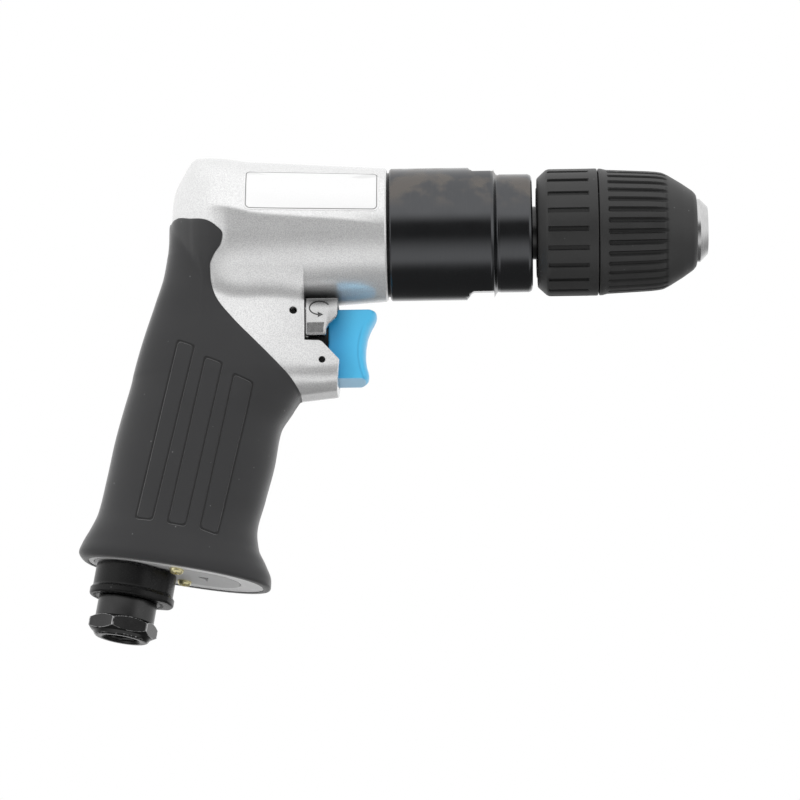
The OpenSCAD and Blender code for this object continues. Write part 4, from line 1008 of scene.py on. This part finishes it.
def lever_plate(side):
    """One side of the lever: a rounded plate with a sloping panel and the arrow."""
    outer = side * LEVER_HALF
    name = "reverse_lever_" + ("near" if side < 0 else "far")
    made = rounded(solid(name, prism(LEVER, outer, side * 8.75)), 0.4, 20)
    floor = outer - side * (0.15 + 0.17 * (PANEL[0, 1] - PANEL[:, 1]))
    panel = prism(PANEL, floor, outer + side * 2)
    cut(made, barrel_sweep(side), panel, *arrow_tools(outer - side * 0.4, outer + side * 2))
    return dress(made, zinc, "reverse", (), 25)


near_plate = lever_plate(-1)
lever_plate(1)
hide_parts("reverse_lever")
for name, low, high, edge in (
    ("reverse_lever_bridge", (-134.3, -9.2, -26.3), (-123.5, 9.2, -24.8), 0.3),
    ("reverse_lever_back", (-134.25, -9.2, -35.0), (-133.8, 9.2, -25.5), 0.1),
):
    dress(rounded(solid(name, block(low, high)), edge), zinc, "reverse")

# Trigger well: black walls on the lug, between the trigger and the lever's plates

WELL = [
    [-134.6, -39.6], [-126.9, -39.6], [-126.9, -34], [-133.1, -34], [-133.1, -37], [-134.6, -37],
]
for name, side in (("trigger_well_near", -1), ("trigger_well_far", 1)):
    well = rounded(solid(name, prism(WELL, side * 6.75, side * 7.6)), 0.15)
    dress(well, black_plastic, "housing")

# Base: cast disc in the rubber's foot, plate with pointer and screws, regulator ring, inlet bushing

OVAL_R, OVAL_FRONT_R, OVAL_REACH = 13.2, 10.4, 25.0
OVAL_TURN = math.acos((OVAL_R - OVAL_FRONT_R) / OVAL_REACH)


def oval(grow):
    """Outline of the base plate: a circle, and a lesser one ahead, joined by tangents."""
    ahead = np.linspace(-OVAL_TURN, OVAL_TURN, 40)
    behind = np.linspace(OVAL_TURN, 2 * np.pi - OVAL_TURN, 60)
    far = spots_at(ahead) * (OVAL_FRONT_R + grow) + [OVAL_REACH, 0.0]
    return np.concatenate([far, spots_at(behind) * (OVAL_R + grow)])


a = circle(160)
foot = [14.2, 0.0] + power(spots_at(a), 2 / 2.3) * [29.4, 16.6]
seat = cut(solid("housing_base", at_base(upright(foot, 0.25, 2.4))), at_base(upright(oval(0.25), -1.0, 4.0)))
dress(seat, base_light, "housing", (), 30)
sole = solid("base_plate_skin", at_base(upright(oval(0.0), 0.15, 1.6)))
dress(cut(sole, at_base(upright(disc(0, 0, 8.4), -1, 3))), base_dark, "housing", ["base_plate"], 30)
POINTER = [[21.7, -2.9], [25.0, -3.0], [24.3, 2.9], [23.7, -0.6]]
pointer = solid("regulator_pointer", at_base(upright(POINTER, 0.05, 0.4)))
dress(pointer, black_plastic, "housing")
SCREW_R = 2.35


def screw(name, x, y):
    """A pan-head screw with a cross recess, under the base plate."""
    t = np.linspace(0, np.pi / 2, 8)[:, None]
    z = np.concatenate([[[1.4], [0.14]], -1.6 * np.sin(t)])[:-1]
    r = np.concatenate([[[1.25], [SCREW_R]], SCREW_R * np.cos(t) ** 0.6])[:-1]
    made = solid(name, at_base(skin(round_z(z, r, circle(40)[None]) + [x, y, 0])))
    bars = [upright([[-w, -v], [w, -v], [w, v], [-w, v]], -3.0, -0.8) for w, v in ((1.7, 0.3), (0.3, 1.7))]
    cut(made, *[at_base((p + [x, y, 0], f)) for p, f in bars])
    return dress(made, brass, "housing")


near_screw = screw("base_screw_near", 15.1, -10.2)
screw("base_screw_far", 16.3, 8.4)
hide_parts("base_plate_screws")
RING_R, TAB_R, RING_BORE = 12.3, 15.0, 9.2
VENT_RING = disc(0, 0, 11.2)


def ring_rings():
    """Regulator ring: lip at its foot, tab with straight flanks, rounded rims, bore."""
    a = circle(300)[None]
    turn = np.abs((a + np.pi) % (2 * np.pi) - np.pi)
    flank = 11.22 / np.cos(np.minimum(turn - math.radians(72.2), 0))
    tab = soft_least(TAB_R, flank, 1.6)
    top = -0.25 - 0.5 * (1 - np.cos(np.linspace(0, np.pi / 2, 5)))
    foot = -10.8 + 0.7 * (1 - np.sin(np.linspace(0, np.pi / 2, 6)))
    z = np.concatenate([top, np.linspace(-1.5, -7, 10), np.linspace(-7.3, -10.1, 16), foot])
    z = np.sort(z)[::-1][:, None]
    lip = 0.7 * ramp(z, -7.4, -1.2) ** 1.6
    radius = soft_most(RING_R, tab - 0.7, 1.2) + lip
    up, down = np.clip(z + 0.75, 0, 0.5), np.clip(-10.1 - z, 0, 0.7)
    radius = radius - 0.5 + np.sqrt(0.25 - up ** 2) - 0.7 + np.sqrt(np.clip(0.49 - down ** 2, 0, None))
    z = np.concatenate([z, [[-10.8], [-0.25]]])
    return round_z(z, np.concatenate([radius, np.full((2, a.shape[1]), RING_BORE)]), a)


ring = solid("regulator_ring_skin", at_base(hollow(ring_rings())))
cut(ring, at_base(join(*[upright(disc(x, y, 0.65, 14), -12, -8.0) for x, y in VENT_RING])))
dress(ring, black_plastic, "regulator", ["regulator_ring"], 40)


def bushing_rings():
    """Inlet bushing: neck, hexagon with turned corners, end collar, helical thread."""
    a = np.sort(np.concatenate([circle(300), (HEX_TURN + np.arange(6) * np.pi / 3) % (2 * np.pi)]))[None]
    hexagon = HEX_R / np.cos((a - HEX_TURN) % (np.pi / 3) - np.pi / 6)
    neck = soften([[-0.5, 8.9], [-10.95, 8.9], [-11.0, HEX_CONE[0]], [-HEX_TOP + 0.02, HEX_CONE[0]]], 0.15)
    fine = np.linspace(0, 1.3, 14)
    depth = np.concatenate([fine, [HEX_LEN / 2], HEX_LEN - fine[::-1]])[:, None]
    cone = HEX_CONE[0] + np.minimum(np.minimum(depth, HEX_LEN - depth) / HEX_CONE[2], 1) * HEX_CONE[1]
    end = -INLET_END
    collar = soften([[-22.55, 9.6], [end + 0.3, 8.9], [end, 8.3], [end, 6.6], [-23.3, 5.9]], 0.3)
    z = np.arange(-23.3, -13.0, 0.16)[:, None]
    wave = np.abs((z / 1.337 + a / (2 * np.pi)) % 1 - 0.5) * 2
    rows = [
        round_z(*np.hsplit(neck, 2), a), round_z(-HEX_TOP - depth, np.minimum(hexagon, cone), a),
        round_z(*np.hsplit(collar, 2), a), round_z(z, 5.3 + 0.6 * wave, a),
        round_z(np.array([[-12.6]]), 4.4, a),
    ]
    return np.concatenate(rows)


bushing = at_base(skin(bushing_rings()))
dress(solid("inlet_bushing_skin", bushing), inlet_black, "housing", ["inlet_bushing"], 30)

# Materials of the CAD pieces that stay

bearings = [
    f"{end}_{shaft}_bearing_{part}"
    for end in ("rear", "front") for shaft in ("rotor", "spindle") for part in ("outer", "inner", "balls")
]
threes = [f"{kind}_{i}" for kind in ("planet_gear", "jaw") for i in (1, 2, 3)]
kept = {
    steel: bearings + threes + [
        "ring_gear", "bearing_spacer", "cylinder_liner", "front_end_plate", "rear_end_plate",
        "throttle_spring", "inlet_screen", "trigger_stem", "sun_pinion", "planet_pins", "thrust_race",
        "thrust_balls",
    ],
    nose_steel: ["chuck_body"],
    dark_steel: [
        "bearing_retaining_ring", "dowel_pin", "rotor", "spindle", "carrier_rear_plate", "chuck_screw",
        "chuck_nut",
    ],
    painted_shade_pins: ["lever_pin", "trigger_pin"],
    black_plastic: ["case_gasket", "inlet_seal", "throttle_valve", "trigger_guide"],
    brass: ["throttle_seat", "reverse_valve"],
    felt: ["muffler", "rotor_vanes"],
}
for finish, names in kept.items():
    for name in names:
        mesh = nodes[name].data
        mesh.materials.clear()
        mesh.materials.append(finish.material)

# Stage: pale floor, white all round, soft light from above and from both front sides

FLOOR_Z = cad_low[2] - 0.5 * MM


def floor_finish():
    """Pale matte floor, clear to a camera below it."""
    f = Finish("floor", grey(242), Roughness=0.9)
    under = f.node("ShaderNodeNewGeometry", out="Backfacing")
    seen = f.node("ShaderNodeLightPath", out="Is Camera Ray")
    clear = f.node("ShaderNodeBsdfTransparent")
    top_side = Flow(f, f.surface.outputs[0])
    both = f.node("ShaderNodeMixShader", None, {0: under * seen, 1: top_side, 2: clear})
    f.put(f.tree.nodes["Material Output"].inputs["Surface"], both)
    return f


floor_mesh = bpy.data.meshes.new("floor")
floor_mesh.from_pydata([(x, y, FLOOR_Z) for x, y in ((-3, -3), (3, -3), (3, 3), (-3, 3))], [], [(0, 1, 2, 3)])
floor_mesh.materials.append(floor_finish().material)
floor = shown("floor", floor_mesh)
floor.visible_glossy = False


def studio_world():
    """White to the camera; to gloss, white above, behind and beside, dark ahead; plain to the rest."""
    world = bpy.data.worlds.new("studio")
    world.use_nodes = True
    world.cycles.sampling_method = "NONE"
    t = Tree(world.node_tree)
    x, y, z = t.node("ShaderNodeTexCoord", out="Generated").split()
    below = (z.step(-0.26, -0.82) - z.step(-0.86, -1.0)) * y.step(0.25, -0.05)
    ahead = z.step(0.03, 0.4) * 0.98 + below * 0.66 + 0.12
    aside = y.step(-0.2, 0.5).most(abs(x).step(0.45, 0.8)) * z.step(-0.5, 0.0)
    level = ahead + (1.0 - ahead) * aside
    seen = t.node("ShaderNodeLightPath", out="Is Camera Ray")
    paths = seen.socket.node.outputs
    gloss = Flow(t, paths["Is Glossy Ray"]).most(Flow(t, paths["Is Transmission Ray"]))
    plain = (1.0 - seen) * (1.0 - gloss)
    t.put(t.tree.nodes["Background"].inputs["Color"], (1.0, 1.0, 1.0))
    t.put(t.tree.nodes["Background"].inputs["Strength"], seen + gloss * level + plain * 0.6)
    return world


bpy.context.scene.world = studio_world()
LIT_POINT = Vector((-0.1, 0.0, -0.05))


def soft_lamp(name, place, watts):
    """A square area lamp, 1 m wide, that faces the part and doesn't show in gloss."""
    lamp = bpy.data.lights.new(name, "AREA")
    lamp.shape = "SQUARE"
    lamp.size = 1.0
    lamp.energy = watts
    thing = shown(name, lamp)
    thing.location = place
    thing.rotation_euler = (LIT_POINT - Vector(place)).to_track_quat("-Z", "Y").to_euler()
    thing.visible_glossy = False


soft_lamp("overhead", (-0.1, -0.35, 1.1), 4.5)
soft_lamp("front_left", (-1.4, -0.8, 0.1), 8.0)
soft_lamp("front_right", (1.2, -0.8, 0.1), 8.0)

# Camera: to the left side of the part, a little below it

LOOK_AT = Vector((-0.1035, 0.0, -0.05703))
DISTANCE = 1.35
SPAN = 0.26667 / 1.0036
RISE, YAW, ROLL = math.radians(14.0), math.radians(1.15), math.radians(0.55)
toward = Vector((math.sin(YAW) * math.cos(RISE), -math.cos(YAW) * math.cos(RISE), -math.sin(RISE)))
level = Vector((math.cos(YAW), math.sin(YAW), 0.0))
upward = toward.cross(level)
right = math.cos(ROLL) * level - math.sin(ROLL) * upward
up = math.sin(ROLL) * level + math.cos(ROLL) * upward
lens = bpy.data.cameras.new("camera")
lens.sensor_width = 36.0
lens.lens = 36.0 * DISTANCE / SPAN
lens.clip_end = 20.0
camera = shown("camera", lens)
place = LOOK_AT + toward * DISTANCE
camera.matrix_world = Matrix([(right[i], up[i], toward[i], place[i]) for i in range(3)] + [(0, 0, 0, 1)])
bpy.context.scene.camera = camera
bpy.context.scene.view_settings.view_transform = "Standard"
